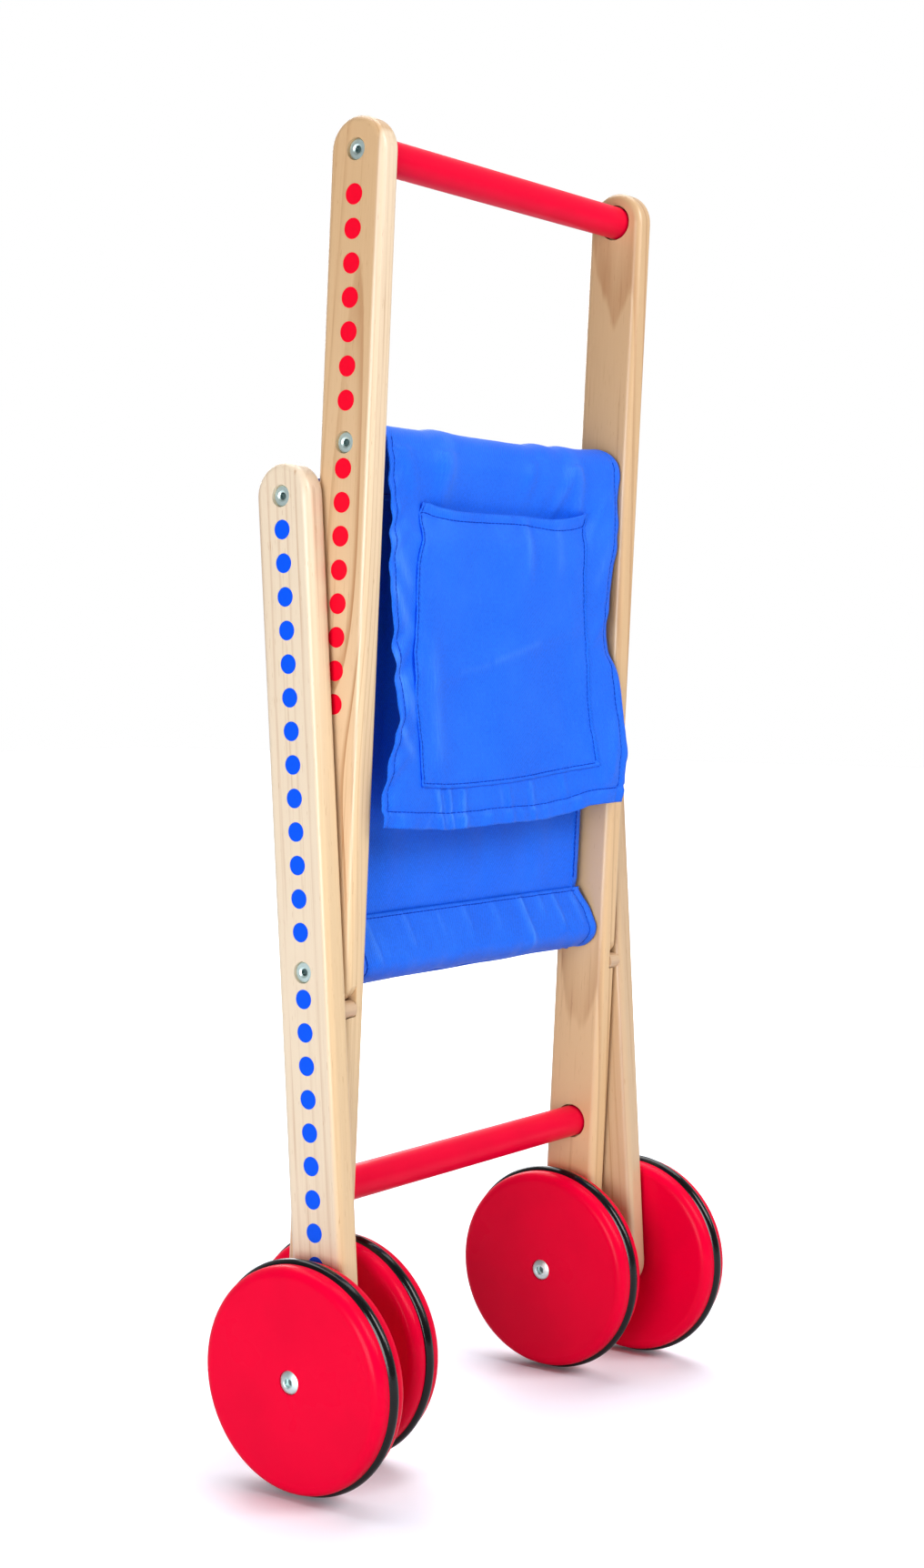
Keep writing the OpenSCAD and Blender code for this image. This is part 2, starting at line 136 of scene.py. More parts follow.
class PushchairColours(bpy.types.PropertyGroup):
    """Colours of the finishes"""

    pine_light: colour("Pine", "Early wood of the rods", (0.74, 0.56, 0.37))
    pine_dark: colour("Pine line", "Late wood of the rails and rods", (0.42, 0.2, 0.078))
    lacquer_red: colour("Red lacquer", "Bars and wheels", (0.8, 0.0, 0.032))
    dot_red: colour("Red dot", "Printed red dots", (0.83, 0.0, 0.021))
    dot_blue: colour("Blue dot", "Printed blue dots", (0.0, 0.085, 0.82))
    cloth_blue: colour("Cloth", "Royal blue cloth", (0.007, 0.155, 0.96))
    thread_blue: colour("Thread", "Sewing thread", (0.0, 0.055, 0.52))
    tyre_black: colour("Tyre", "Rubber of the ring tyres", (0.004, 0.004, 0.0045))
    zinc: colour("Zinc", "Plated bolts", (0.76, 0.93, 0.91))
    nylon: colour("Nylon", "Washers", (0.75, 0.74, 0.7))


class PushchairStage(bpy.types.PropertyGroup):
    """Camera and light of the studio"""

    camera_place: FloatVectorProperty(
        name="Camera", description="Where the camera stands", default=(-0.91979, -0.66998, 0.36733),
        subtype="TRANSLATION", size=3,
    )
    camera_heading: angle("Heading", "Way the camera looks, from +Y towards +X", 53.76)
    camera_dip: angle("Dip", "How far the camera looks down", 2.825)
    lens: FloatProperty(name="Lens", description="Focal length in millimetres", default=53.469)
    key_power: power("Key light", "Power of the key light", 24)
    fill_power: power("Fill light", "Power of the fill light", 19)
    edge_power: power("Edge light", "Power of the light for folds and rounded edges", 5)
    back_power: power("Back light", "Power of the light from behind", 12)
    top_strength: FloatProperty(name="Top light", description="Strength of the light from above", default=2.2)
    room_light: FloatProperty(name="Room", description="Strength of the light from all around", default=0.14)
    floor_size: FloatProperty(name="Floor", description="Size of the floor", default=14, unit="LENGTH")


# Shader helpers


class Shading:
    """A node tree with short ways to add to it. Values are sockets, which are linked, or plain values."""

    def __init__(self, tree):
        self.tree = tree

    def feed(self, node, values):
        """Links or plain values on a node's inputs."""
        for key, value in values.items():
            if isinstance(value, bpy.types.NodeSocket):
                self.tree.links.new(value, node.inputs[key])
            else:
                node.inputs[key].default_value = value

    def node(self, kind, values=None, **settings):
        """A node of this kind with its settings and its inputs."""
        made = self.tree.nodes.new("ShaderNode" + kind)
        for key, value in settings.items():
            setattr(made, key, value)
        self.feed(made, values or {})
        return made

    def math(self, operation, *values):
        """Output of a Math node."""
        return self.node("Math", dict(enumerate(values)), operation=operation).outputs[0]

    def add(self, a, b):
        """Sum of two values."""
        return self.math("ADD", a, b)

    def times(self, a, b):
        """Product of two values."""
        return self.math("MULTIPLY", a, b)

    def measure(self, operation, *vectors):
        """Number that a Vector Math node makes of vectors."""
        return self.node("VectorMath", dict(enumerate(vectors)), operation=operation).outputs["Value"]

    def between(self, value, low, high, to_low=0.0, to_high=1.0):
        """Smooth rise of a value from one range to another."""
        values = dict(enumerate((value, low, high, to_low, to_high)))
        return self.node("MapRange", values, interpolation_type="SMOOTHSTEP").outputs[0]

    def mix(self, amount, a, b):
        """Colour between a and b."""
        return self.node("Mix", {0: amount, 6: a, 7: b}, data_type="RGBA").outputs[2]

    def tinted(self, base, other, mask, low, high, most):
        """A colour that turns to another, at most by this share, as a mask rises from low to high."""
        return self.mix(self.between(mask, low, high, 0.0, most), base, other)

    def axes(self, vector):
        """The three parts of a vector."""
        return self.node("SeparateXYZ", {0: vector}).outputs

    def stretched(self, vector, scale):
        """Coordinates stretched along their axes."""
        return self.node("VectorMath", {0: vector, 1: scale}, operation="MULTIPLY").outputs[0]

    def cloud(self, vector, scale, detail=2.0, rough=0.5):
        """Soft noise from 0 to 1."""
        values = {"Vector": vector, "Scale": scale, "Detail": detail, "Roughness": rough}
        return self.node("TexNoise", values).outputs[0]

    def object_place(self, turn=(0, 0, 0), shift=(0, 0, 0)):
        """Object coordinates, turned and moved on to a piece."""
        spot = self.node("TexCoord").outputs["Object"]
        return self.node("Mapping", {"Vector": spot, "Rotation": turn, "Location": shift}).outputs[0]

    def bump(self, height, distance, strength=1.0):
        """Normal of a relief."""
        return self.node("Bump", {"Height": height, "Distance": distance, "Strength": strength}).outputs[0]


def new_group(name, inputs, outputs):
    """An empty shader group: the Shading of its tree, the sockets it is given and its output node.

    An input without a default is a vector. The output Color is a colour, and the others are values.
    """
    tree = bpy.data.node_groups.new(name, "ShaderNodeTree")
    kinds = {type(None): "NodeSocketVector", float: "NodeSocketFloat", tuple: "NodeSocketColor"}
    for label, default in inputs.items():
        socket = tree.interface.new_socket(name=label, in_out="INPUT", socket_type=kinds[type(default)])
        if default is not None:
            socket.default_value = default
    for label in outputs:
        kind = kinds[tuple if label == "Color" else float]
        tree.interface.new_socket(name=label, in_out="OUTPUT", socket_type=kind)
    return Shading(tree), tree.nodes.new("NodeGroupInput").outputs, tree.nodes.new("NodeGroupOutput")


def group_of(build):
    """The shader group that a function builds, built once and named after it."""
    return bpy.data.node_groups.get(build.__name__) or build(build.__name__)


def pine_grain(name):
    """Growth rings, fibres, pores and slow colour drift of a pine board whose length runs along Z.

    A bow lifts the rings near the board's heart, so that they meet there in two opposite arches.
    """
    shade, given, out = new_group(
        name,
        {"Vector": None, "Light": (0.8, 0.6, 0.4, 1), "Dark": (0.6, 0.4, 0.2, 1), "Ring Pitch": 0.0042,
         "Ring Strength": 0.6, "Bow Height": 0.0},
        ("Color", "Roughness", "Height"),
    )
    x, y, z = shade.axes(given["Vector"])

    def drawn_out(squeeze, *sizes):
        return shade.cloud(shade.stretched(given["Vector"], (1, 1, squeeze)), *sizes)

    away = shade.math("SQRT", shade.add(shade.times(x, x), shade.times(y, y)))
    from_heart = shade.math("DIVIDE", z, 0.06)
    bow = shade.math("EXPONENT", shade.times(shade.times(from_heart, from_heart), -1.0))
    bent = shade.add(away, shade.times(bow, given["Bow Height"]))
    bent = shade.math("DIVIDE", bent, given["Ring Pitch"])
    bent = shade.add(bent, shade.times(drawn_out(0.2, 9.0), 1.7))
    bent = shade.add(bent, shade.times(drawn_out(0.05, 130.0), 0.2))
    ring = shade.math("FRACT", bent)
    late = shade.math("POWER", shade.between(ring, 0.45, 0.93), 2.4)
    late = shade.times(late, shade.between(ring, 0.93, 0.985, 1.0, 0.0))
    uneven = shade.between(drawn_out(0.1, 45.0), 0.3, 0.7, 0.3, 1.0)
    late = shade.times(late, shade.times(uneven, given["Ring Strength"]))
    fibre = drawn_out(0.016, 1500.0, 3.0, 0.6)
    streak = shade.between(drawn_out(0.012, 420.0), 0.6, 0.74)
    drift = drawn_out(0.3, 16.0)
    pore = shade.between(drawn_out(0.07, 1900.0, 1.0), 0.7, 0.76)
    dark = late
    for part, rest, share in ((streak, 0.0, 0.34), (pore, 0.0, 0.4), (fibre, 0.5, 0.36), (drift, 0.5, 0.45)):
        dark = shade.add(dark, shade.times(shade.math("SUBTRACT", part, rest), share))
    tint = shade.node("Clamp", {0: dark}).outputs[0]
    shade.feed(out, {
        "Color": shade.mix(tint, given["Light"], given["Dark"]),
        "Roughness": shade.between(fibre, 0.2, 0.8, 0.36, 0.5),
        "Height": shade.add(fibre, shade.times(late, -0.6)),
    })
    return shade.tree


def lacquer_skin(name):
    """Faint orange peel and uneven gloss of brushed or dipped lacquer."""
    shade, given, out = new_group(
        name, {"Vector": None, "Color": (0.7, 0.02, 0.03, 1), "Gloss": 0.3}, ("Color", "Roughness", "Height")
    )
    peel = shade.cloud(given["Vector"], 420.0)
    pool = shade.cloud(given["Vector"], 26.0, 3.0)
    shade.feed(out, {
        "Color": shade.tinted(given["Color"], (0, 0, 0, 1), pool, 0.35, 0.75, 0.07),
        "Roughness": shade.add(given["Gloss"], shade.between(pool, 0.3, 0.7, -0.04, 0.08)),
        "Height": shade.add(peel, shade.times(pool, 2.0)),
    })
    return shade.tree


def twill_weave(name):
    """Fine diagonal ribs of twill, read from flat cloth coordinates in metres."""
    shade, given, out = new_group(name, {"Vector": None, "Pitch": 0.0013}, ("Height", "Rib", "Slub", "Speck"))
    flat, pitch = given["Vector"], given["Pitch"]
    across, along, _ = shade.axes(flat)
    slant = shade.math("DIVIDE", shade.add(across, shade.times(along, 0.7)), pitch)
    rib = shade.math("PINGPONG", slant, 0.5)
    weft = shade.math("PINGPONG", shade.math("DIVIDE", along, shade.times(pitch, 0.5)), 0.5)
    high = shade.add(shade.times(rib, 1.4), shade.times(weft, 0.5))
    slub = shade.cloud(shade.stretched(flat, (1, 0.12, 1)), 900.0)
    speck = shade.cloud(shade.stretched(flat, (1, 0.6, 1)), 1100.0, 3.0, 0.75)
    shade.feed(out, {
        "Height": shade.add(high, shade.times(slub, 0.6)),
        "Rib": shade.times(rib, 2.0),
        "Slub": slub,
        "Speck": shade.between(speck, 0.36, 0.64),
    })
    return shade.tree


def turned_metal(name):
    """Rings left by turning, plating patches and painted shade in the key socket of a bolt whose axis runs
    along X.
    """
    shade, given, out = new_group(
        name, {"Vector": None, "Color": (0.6, 0.7, 0.7, 1), "Socket": 0.0, "Gloss": 0.3},
        ("Color", "Roughness", "Height"),
    )
    away = shade.measure("LENGTH", shade.stretched(given["Vector"], (0, 1, 1)))
    rings = {"Scale": 4200.0, "Detail": 2.0, "W": away}
    ring = shade.node("TexNoise", rings, noise_dimensions="1D").outputs[0]
    patch = shade.cloud(given["Vector"], 320.0, 3.0)
    dull = shade.tinted(given["Color"], (0.62, 0.76, 0.74, 1), patch, 0.35, 0.7, 0.35)
    # Painted shade: inside the key socket the colour turns dark, standing in for the shade in the recess.
    inside = shade.between(away, given["Socket"], shade.times(given["Socket"], 1.12), 1.0, 0.0)
    shade.feed(out, {
        "Color": shade.mix(inside, dull, (0.17, 0.24, 0.24, 1)),
        "Roughness": shade.add(given["Gloss"], shade.between(ring, 0.3, 0.7, -0.03, 0.06)),
        "Height": ring,
    })
    return shade.tree


def mottle(name):
    """Slight drift of tone and roughness over a plain finish."""
    shade, given, out = new_group(
        name,
        {"Vector": None, "Color": (0.5, 0.5, 0.5, 1), "Other": (0.4, 0.4, 0.4, 1),
         "Scale": 100.0, "Detail": 3.0, "Tint Low": 0.3, "Tint High": 0.8, "Tint Most": 0.1,
         "Rough Low": 0.4, "Rough High": 0.5},
        ("Color", "Roughness", "Height"),
    )
    film = shade.cloud(given["Vector"], given["Scale"], given["Detail"])
    tint = [given["Tint " + word] for word in ("Low", "High", "Most")]
    shade.feed(out, {
        "Color": shade.tinted(given["Color"], given["Other"], film, *tint),
        "Roughness": shade.between(film, 0.3, 0.7, given["Rough Low"], given["Rough High"]),
        "Height": film,
    })
    return shade.tree


def new_material(name):
    """A material, the Shading of its tree and its Principled shader."""
    mat = bpy.data.materials.new(name)
    mat.use_nodes = True
    return mat, Shading(mat.node_tree), mat.node_tree.nodes["Principled BSDF"]


def finish(shade, shader, build, place, values, depth):
    """A shader group's colour and roughness, and its relief of some depth in metres, on a shader."""
    made = shade.node("Group", node_tree=group_of(build))
    shade.feed(made, {"Vector": place, **values})
    shade.feed(shader, {"Base Color": made.outputs["Color"], "Roughness": made.outputs["Roughness"]})
    if depth:
        shade.feed(shader, {"Normal": shade.bump(made.outputs["Height"], depth)})


def rgba(value):
    """A colour with full alpha."""
    return (*value, 1.0)


# Heights in metres between which a rail's tone drifts, and how far in front of the rail's middle the tone
# of its front edge starts and is full. Both tones are partly the wood's own colour and partly painted light
# and shade.
DRIFT_LOW, DRIFT_HIGH = 0.22, 0.62
RIM_START, RIM_FULL = 0.0115, 0.0135


def pine(name, turn, heart, light=None, top=None, dark=None, pitch=0.0048, strength=0.9, bow=0.0, edge=None):
    """Varnished pine whose length runs along the turned Z axis. heart is the place of the tree's middle.

    light is the wood's tone, and top the one that it drifts to towards its upper end; this drift is partly
    the wood's own colour and partly painted light and shade for how the light changes with height. bow lifts
    the rings beside the heart. edge holds the tones of a rail's front edge, low and high: paler partly as the
    board's side grain and partly as painted light for the front face's brighter light.
    """
    look = bpy.context.scene.pushchair_colours
    mat, shade, shader = new_material(name)
    tone, rings = rgba(light or look.pine_light), strength
    if top or edge:
        spot = shade.node("TexCoord").outputs["Object"]
        rise = shade.between(shade.axes(spot)[2], DRIFT_LOW, DRIFT_HIGH)
    # The drift towards the top tone is partly the wood's own colour and partly painted light and shade.
    if top:
        tone = shade.mix(rise, tone, rgba(top))
    # The front edge's paler tone is partly the board's side grain and partly painted light for its brighter
    # lit face.
    if edge:
        lean = LEAN if turn[0] < 0 else -LEAN
        middle = PIVOT.z * math.sin(lean)
        depth = shade.measure("DOT_PRODUCT", spot, (0, math.cos(lean), math.sin(lean)))
        rim = shade.between(depth, middle - RIM_FULL, middle - RIM_START, 1.0, 0.0)
        tone = shade.mix(rim, tone, shade.mix(rise, rgba(edge[0]), rgba(edge[1])))
        rings = shade.between(rim, 0.0, 1.0, strength, 0.4 * strength)
    place = shade.object_place(turn, -(Euler(turn).to_matrix() @ Vector(heart)))
    finish(shade, shader, pine_grain, place, {
        "Light": tone, "Dark": rgba(dark or look.pine_dark), "Ring Pitch": pitch, "Ring Strength": rings,
        "Bow Height": bow,
    }, 0.03 * MM)
    shade.feed(shader, {"Coat Weight": 0.35, "Coat Roughness": 0.22})
    return mat


def lacquer(name, tone, gloss, shine):
    """Coloured lacquer on wood."""
    mat, shade, shader = new_material(name)
    values = {"Color": rgba(tone), "Gloss": gloss}
    finish(shade, shader, lacquer_skin, shade.object_place(), values, 0.02 * MM)
    shade.feed(shader, {"Specular IOR Level": shine, "Coat Weight": 0.05, "Coat Roughness": 0.18})
    return mat


def rubber(name, tone):
    """Smooth black rubber with a faint bloom."""
    mat, shade, shader = new_material(name)
    place = shade.object_place()
    bloom = shade.between(shade.cloud(place, 60.0, 3.0), 0.35, 0.75)
    shade.feed(shader, {
        "Base Color": shade.mix(bloom, rgba(tone), (0.006, 0.006, 0.0065, 1)),
        "Roughness": shade.add(shade.times(bloom, 0.1), 0.13),
        "Specular IOR Level": 0.35,
        "Normal": shade.bump(shade.cloud(place, 700.0), 0.02 * MM),
    })
    return mat


def plated(name, tone, middle=(0, 0, 0), socket=0.0, gloss=0.3):
    """Zinc-plated steel, turned about an axis along X. socket is the radius of its key socket, darkened as
    painted shade.
    """
    mat, shade, shader = new_material(name)
    place = shade.object_place(shift=(0, -middle[1], -middle[2]))
    values = {"Color": rgba(tone), "Socket": socket, "Gloss": gloss}
    finish(shade, shader, turned_metal, place, values, 0.004 * MM)
    shade.feed(shader, {"Metallic": 1.0})
    return mat


def mottled(name, tone, other, cloud, tint, rough, shine=0.5, depth=0.0):
    """A plain finish that drifts to another tone.

    cloud is the drift's scale and detail, tint where its mask starts and ends and how much it shows,
    and rough the least and the most roughness.
    """
    mat, shade, shader = new_material(name)
    values = {"Color": rgba(tone), "Other": rgba(other)}
    labels = ("Scale", "Detail", "Tint Low", "Tint High", "Tint Most", "Rough Low", "Rough High")
    values.update(zip(labels, (*cloud, *tint, *rough)))
    finish(shade, shader, mottle, shade.object_place(), values, depth)
    shade.feed(shader, {"Specular IOR Level": shine})
    return mat


def printed(name, tone):
    """Printed paint with a slightly uneven film."""
    thin = tuple(0.6 * part for part in tone)
    return mottled(name, tone, thin, (500.0, 3.0), (0.45, 0.8, 0.12), (0.4, 0.5), 0.12, 0.01 * MM)


def twill(name, tone):
    """Royal blue satin twill, with painted sheen that lightens it along folds."""
    mat, shade, shader = new_material(name)
    flat = shade.node("UVMap", uv_map="cloth").outputs[0]
    weave = shade.node("Group", node_tree=group_of(twill_weave))
    shade.feed(weave, {"Vector": flat})
    rib, slub, speck = (weave.outputs[label] for label in ("Rib", "Slub", "Speck"))
    shown = shade.mix(shade.between(rib, 0.0, 1.0, 0.4, 0.0), rgba(tone), (0.0, 0.03, 0.42, 1))
    shown = shade.mix(shade.between(speck, 0.0, 1.0, 0.34, 0.0), shown, (0.0, 0.05, 0.5, 1))
    shown = shade.tinted(shown, (0.1, 0.35, 1.0, 1), slub, 0.45, 0.75, 0.06)
    shown = shade.tinted(shown, (0.025, 0.2, 0.98, 1), shade.cloud(flat, 28.0, 3.0), 0.35, 0.7, 0.16)
    # Painted sheen: along folds the colour turns to a lighter blue that stands in for satin highlights.
    painted_crease_sheen = shade.node("Attribute", attribute_type="GEOMETRY", attribute_name="painted_crease_sheen").outputs["Fac"]
    painted_sheen = shade.times(painted_crease_sheen, shade.between(slub, 0.3, 0.7, 0.3, 0.8))
    shade.feed(shader, {
        "Base Color": shade.mix(painted_sheen, shown, (0.12, 0.36, 1.0, 1)),
        "Roughness": shade.between(slub, 0.3, 0.7, 0.5, 0.58),
        "Specular IOR Level": 0.4,
        "Specular Tint": (0.4, 0.8, 1.0, 1),
        "Sheen Weight": 0.05,
        "Sheen Roughness": 0.4,
        "Sheen Tint": (0.3, 0.55, 1.0, 1),
        "Normal": shade.bump(weave.outputs["Height"], 0.12 * MM, 0.6),
    })
    return mat


def cloth_material():
    """The one blue twill that all the cloth shares."""
    tone = bpy.context.scene.pushchair_colours.cloth_blue
    return bpy.data.materials.get("blue_twill") or twill("blue_twill", tone)


def thread_material():
    """The one thread that all the seams share."""
    tone = bpy.context.scene.pushchair_colours.thread_blue
    return bpy.data.materials.get("blue_thread") or mottled(
        "blue_thread", tone, (0.0, 0.02, 0.3), (2600.0, 2.0), (0.4, 0.7, 0.5), (0.5, 0.65), 0.1, 0.03 * MM)


def wear(node, mat):
    """The finish of a CAD node."""
    mesh = frame["nodes"][node].data
    mesh.materials.clear()
    mesh.materials.append(mat)


# Mesh helpers


def new_object(name, data):
    """An object of the scene."""
    made = bpy.data.objects.new(name, data)
    bpy.context.scene.collection.objects.link(made)
    return made


def new_mesh(name, bm, mat):
    """A finished mesh with one material."""
    mesh = bpy.data.meshes.new(name)
    bm.to_mesh(mesh)
    bm.free()
    mesh.materials.append(mat)
    return mesh


def new_piece(name, bm, mat, body, smooth=True):
    """A finished mesh as an object of the scene that moves with a body."""
    mesh = new_mesh(name, bm, mat)
    mesh.polygons.foreach_set("use_smooth", [smooth] * len(mesh.polygons))
    piece = new_object(name, mesh)
    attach(piece, body)
    return piece


def ease(value):
    """Smooth rise from 0 to 1."""
    value = min(max(value, 0.0), 1.0)
    return value * value * (3 - 2 * value)


def through(points, place):
    """Smooth curve through (place, value) points, level at its ends."""
    if place <= points[0][0]:
        return points[0][1]
    if place >= points[-1][0]:
        return points[-1][1]
    for i in range(len(points) - 1):
        (x0, y0), (x1, y1) = points[i], points[i + 1]
        if x0 <= place <= x1:
            before = points[i - 1] if i else points[i]
            after = points[i + 2] if i + 2 < len(points) else points[i + 1]
            m0 = (y1 - before[1]) / (x1 - before[0])
            m1 = (after[1] - y0) / (after[0] - x0)
            t, h = (place - x0) / (x1 - x0), x1 - x0
            return (
                (2 * t**3 - 3 * t**2 + 1) * y0 + (t**3 - 2 * t**2 + t) * h * m0
                + (3 * t**2 - 2 * t**3) * y1 + (t**3 - t**2) * h * m1
            )


def bell(value, width):
    """Smooth bump of height 1 at zero."""
    return math.exp(-((value / width) ** 2))


def waves(x, y, z):
    """Soft noise from -1 to 1."""
    return noise.noise(Vector((x, y, z)))


def sheet_grid(cols, rows, place, flat, painted_sheen=None):
    """A cloth sheet: a grid with its points moved by place(across -1..1, along 0..1) and flat sizes as UVs.

    The last argument gives, for a point in millimetres, how much painted sheen shows there, a lighter tint
    that stands in for highlights along folds.
    """
    bm = bmesh.new()
    uv = bm.loops.layers.uv.new("cloth")
    # Painted sheen: how much the cloth's colour is lightened at each point, standing in for highlights along
    # folds.
    sheen = bm.verts.layers.float.new("painted_crease_sheen")
    bmesh.ops.create_grid(bm, x_segments=cols, y_segments=rows, size=0.5, calc_uvs=True)
    for face in bm.faces:
        for loop in face.loops:
            loop[uv].uv = (loop.vert.co.x * flat[0], (loop.vert.co.y + 0.5) * flat[1])
    for vert in bm.verts:
        vert.co = place(2 * vert.co.x, vert.co.y + 0.5)
        vert[sheen] = min(painted_sheen(vert.co / MM), 1.0) if painted_sheen else 0.0
    return bm


def stitch_row(bm, line, sizes):
    """Stitches along a line of (place, normal) pairs."""
    reach = 0.0
    size = Matrix.Diagonal((sizes.stitch / 2, sizes.thread / 2, sizes.thread / 2, 1))
    for (p0, n0), (p1, n1) in zip(line, line[1:]):
        run = (p1 - p0).length
        while reach < run:
            share = reach / run
            middle, out, along = p0.lerp(p1, share), n0.lerp(n1, share).normalized(), (p1 - p0).normalized()
            side = out.cross(along).normalized()
            turn = Matrix((along, side, along.cross(side))).transposed().to_4x4()
            bmesh.ops.create_icosphere(
                bm, subdivisions=1, radius=1,
                matrix=Matrix.Translation(middle + out * sizes.thread * 0.25) @ turn @ size,
            )
            reach += sizes.stitch_step
        reach -= run


def surface_line(place, path, lift, towards):
    """Points and normals of a sheet along (across, along) pairs, lifted to the side facing a direction."""
    near = 0.004
    line = []
    for across, along in path:
        here = place(across, along)
        side = place(across + near, along) - place(across - near, along)
        down = place(across, min(along + near, 1)) - place(across, max(along - near, 0))
        out = side.cross(down).normalized()
        if out.dot(Vector(towards)) < 0:
            out = -out
        line.append((here + out * lift, out))
    return line


def spread(low, high, steps=160):
    """Even steps from one value to another."""
    return [low + (high - low) * i / steps for i in range(steps + 1)]


def upright(across, low, high):
    """A seam along a sheet."""
    return [(across, t) for t in spread(low, high)]


def level(along, low, high):
    """A seam across a sheet."""
    return [(t, along) for t in spread(low, high)]


def sewn(name, thread_name, body, bm, place, seams, sides):
    """A sheet as a piece of cloth, and the stitches of its seams on the sides that face these directions."""
    sizes = bpy.context.scene.pushchair_cloth
    piece = new_piece(name, bm, cloth_material(), body)
    wall = piece.modifiers.new("cloth", "SOLIDIFY")
    wall.thickness = sizes.thickness
    wall.offset = 0
    wall.use_even_offset = True
    wall.use_rim = True
    rows = bmesh.new()
    for seam in seams:
        for towards in sides:
            stitch_row(rows, surface_line(place, seam, sizes.thickness / 2, towards), sizes)
    return piece, new_piece(thread_name, rows, thread_material(), body)


# Cloth shapes, in millimetres. Profiles are (place, value) points. Creases and painted sheen are short lines,
# from one (x, z) point to another, with their height and width. Painted sheen is a lighter tint that stands
# in for highlights along folds. TUNNEL and ROLL are the distance of the cloth from its rod's middle, by angle
# in degrees.

BACKREST = HANDLE_HALF @ Vector((0, 0, BACKREST_REACH * MM)) / MM
CREST = 9.9  # backrest rod's middle to the flap's cloth
WRAP = 20.0  # length of the flap from the front of its rod up and over the top
FLAP_HALF, HEM_HALF = 98, 99  # half widths of the flap and of its lower hem
LEFT_HEM, RIGHT_HEM, LOW_HEM = 4.2, 5.0, 7.6  # edges of the flap to their stitches
TURNED_BACK = 118  # how far down the flap's right hem turns back
POCKET_HALF = 71
POCKET_SEAM = 1.6  # edge of the pocket to its stitches
PANEL_HALF = 93.5  # half width of the back and seat panels
PANEL_HEM = 4.6  # edge of a panel to its stitches
TUNNEL_FLARE = 4.0  # how much wider a panel is round its rods, on each side
TUNNEL_NECK = 9.2  # sets the lean of the cloth from a tunnel's seam to the rod
PLY = 0.8  # one layer of cloth on another
ROLL_HUG = 10.6  # pivot rod's middle to the seat panel that hugs the roll
ROLL_FRONT = 60  # length of the roll's front and underside
TUNNEL = ((120, 9.0), (400, 9.0))
ROLL = (
    (120, 10.2), (150, 10.4), (180, 10.3), (215, 9.1), (250, 8.55), (300, 8.55), (360, 8.8), (400, 9.0)
)
FLAP_CREST = (
    (-98, 9.6), (-60, 9.4), (-49, 10.5), (-30, 9.5), (0, 9.25), (23, 9.2), (33, 10.4), (47, 9.9),
    (55, 10.8), (71, 10.5), (90, 11.6), (98, 10.8),
)
FLAP_LEFT = (
    (-18, -92), (-8, -94), (0, -94.6), (14, -94), (40, -94.4), (51, -96.2), (86, -93.9), (113, -90.3),
    (134, -95.5), (151, -99.9), (172, -101.7),
)
FLAP_RIGHT = (
    (-18, 93), (-8, 95.6), (0, 97.3), (28, 98), (59, 94.6), (78, 92.5), (92, 93.2), (100, 95.6),
    (131, 98.0), (147, 98.8), (169, 96.8),
)
FLAP_HEM = (
    (-101, 171.6), (-75, 173.7), (-37, 175.4), (-5, 174.6), (26, 174.8), (48, 172.9), (72, 169.5),
    (99, 168.7),
)
SWELL_LEFT = (
    (0, 0.6), (14, 1.5), (40, 3.0), (51, 3.0), (86, 2.6), (113, 2.4), (134, 2.6), (151, 2.8), (172, 2.8),
)
SWELL_RIGHT = (
    (0, 0.4), (28, 2.0), (59, -0.2), (78, -1.7), (92, -0.7), (100, 0.8), (131, 3.8), (147, 4.8), (169, 2.8),
)
SWELL_MIDDLE = (
    (0, 0.6), (7, 1.0), (18, -2.2), (27, -4.6), (42, 0.4), (60, 0.8), (100, 0.4), (140, 1.6), (175, 2.8),
)
FLAP_CREASES = (
    ((-58.7, 312), (-56.4, 294), 1.3, 2.0), ((-50.5, 312), (-48.1, 294), 1.2, 1.8),
    ((-38.5, 311), (-39.7, 294), 1.3, 2.2), ((-3.9, 311), (-1.4, 295), 0.7, 2.0),
    ((16.7, 312), (19.3, 295), 1.1, 2.2), ((44, 315), (50, 297), 0.9, 2.4),
    ((-52, 478), (-50, 452), 2.3, 6.0), ((15, 440), (14, 415), 0.8, 3.5), ((57, 472), (62, 446), 1.9, 4.5),
    ((54, 470), (44, 446), 1.5, 4.0), ((-86, 474), (-72, 446), 1.8, 5.0), ((22, 476), (18, 456), 1.5, 5.0),
    ((-64, 376), (-58, 326), 1.5, 7.0), ((89, 338), (85, 314), 1.4, 4.0), ((74, 330), (80, 306), 0.9, 4.0),
    ((-60, 362), (55, 388), 0.8, 4.5), ((84, 452), (70, 430), 0.7, 3.0), ((-88, 440), (-70, 425), 0.6, 3.0),
    ((90, 396), (72, 380), 0.8, 3.2), ((-88, 356), (-74, 366), 0.7, 3.0),
)
# Painted sheen on the flap: lighter lines that stand in for highlights along its folds.
FLAP_PAINTED_SHEEN = (
    ((-60, 311), (-56, 295), 0.6, 0.8), ((-55, 309), (-52, 296), 0.25, 0.8),
    ((-50.5, 311), (-47, 294), 0.65, 0.8), ((-38.5, 309), (-40, 294), 0.55, 0.8),
    ((-10, 310), (-8, 300), 0.2, 1.0), ((16, 312), (19, 298), 0.3, 0.9),
    ((-64, 300), (-70, 294), 0.25, 0.8), ((58, 470), (62, 448), 0.2, 3.6),
    ((53, 468), (45, 448), 0.14, 3.2), ((-48, 474), (-46, 452), 0.2, 5.0),
    ((-92, 426), (-82, 408), 0.45, 3.2), ((-92, 404), (-83, 388), 0.45, 3.2),
    ((-91, 372), (-80, 350), 0.45, 3.2), ((-90, 342), (-80, 330), 0.45, 2.4),
    ((88, 430), (78, 412), 0.16, 3.0),
)
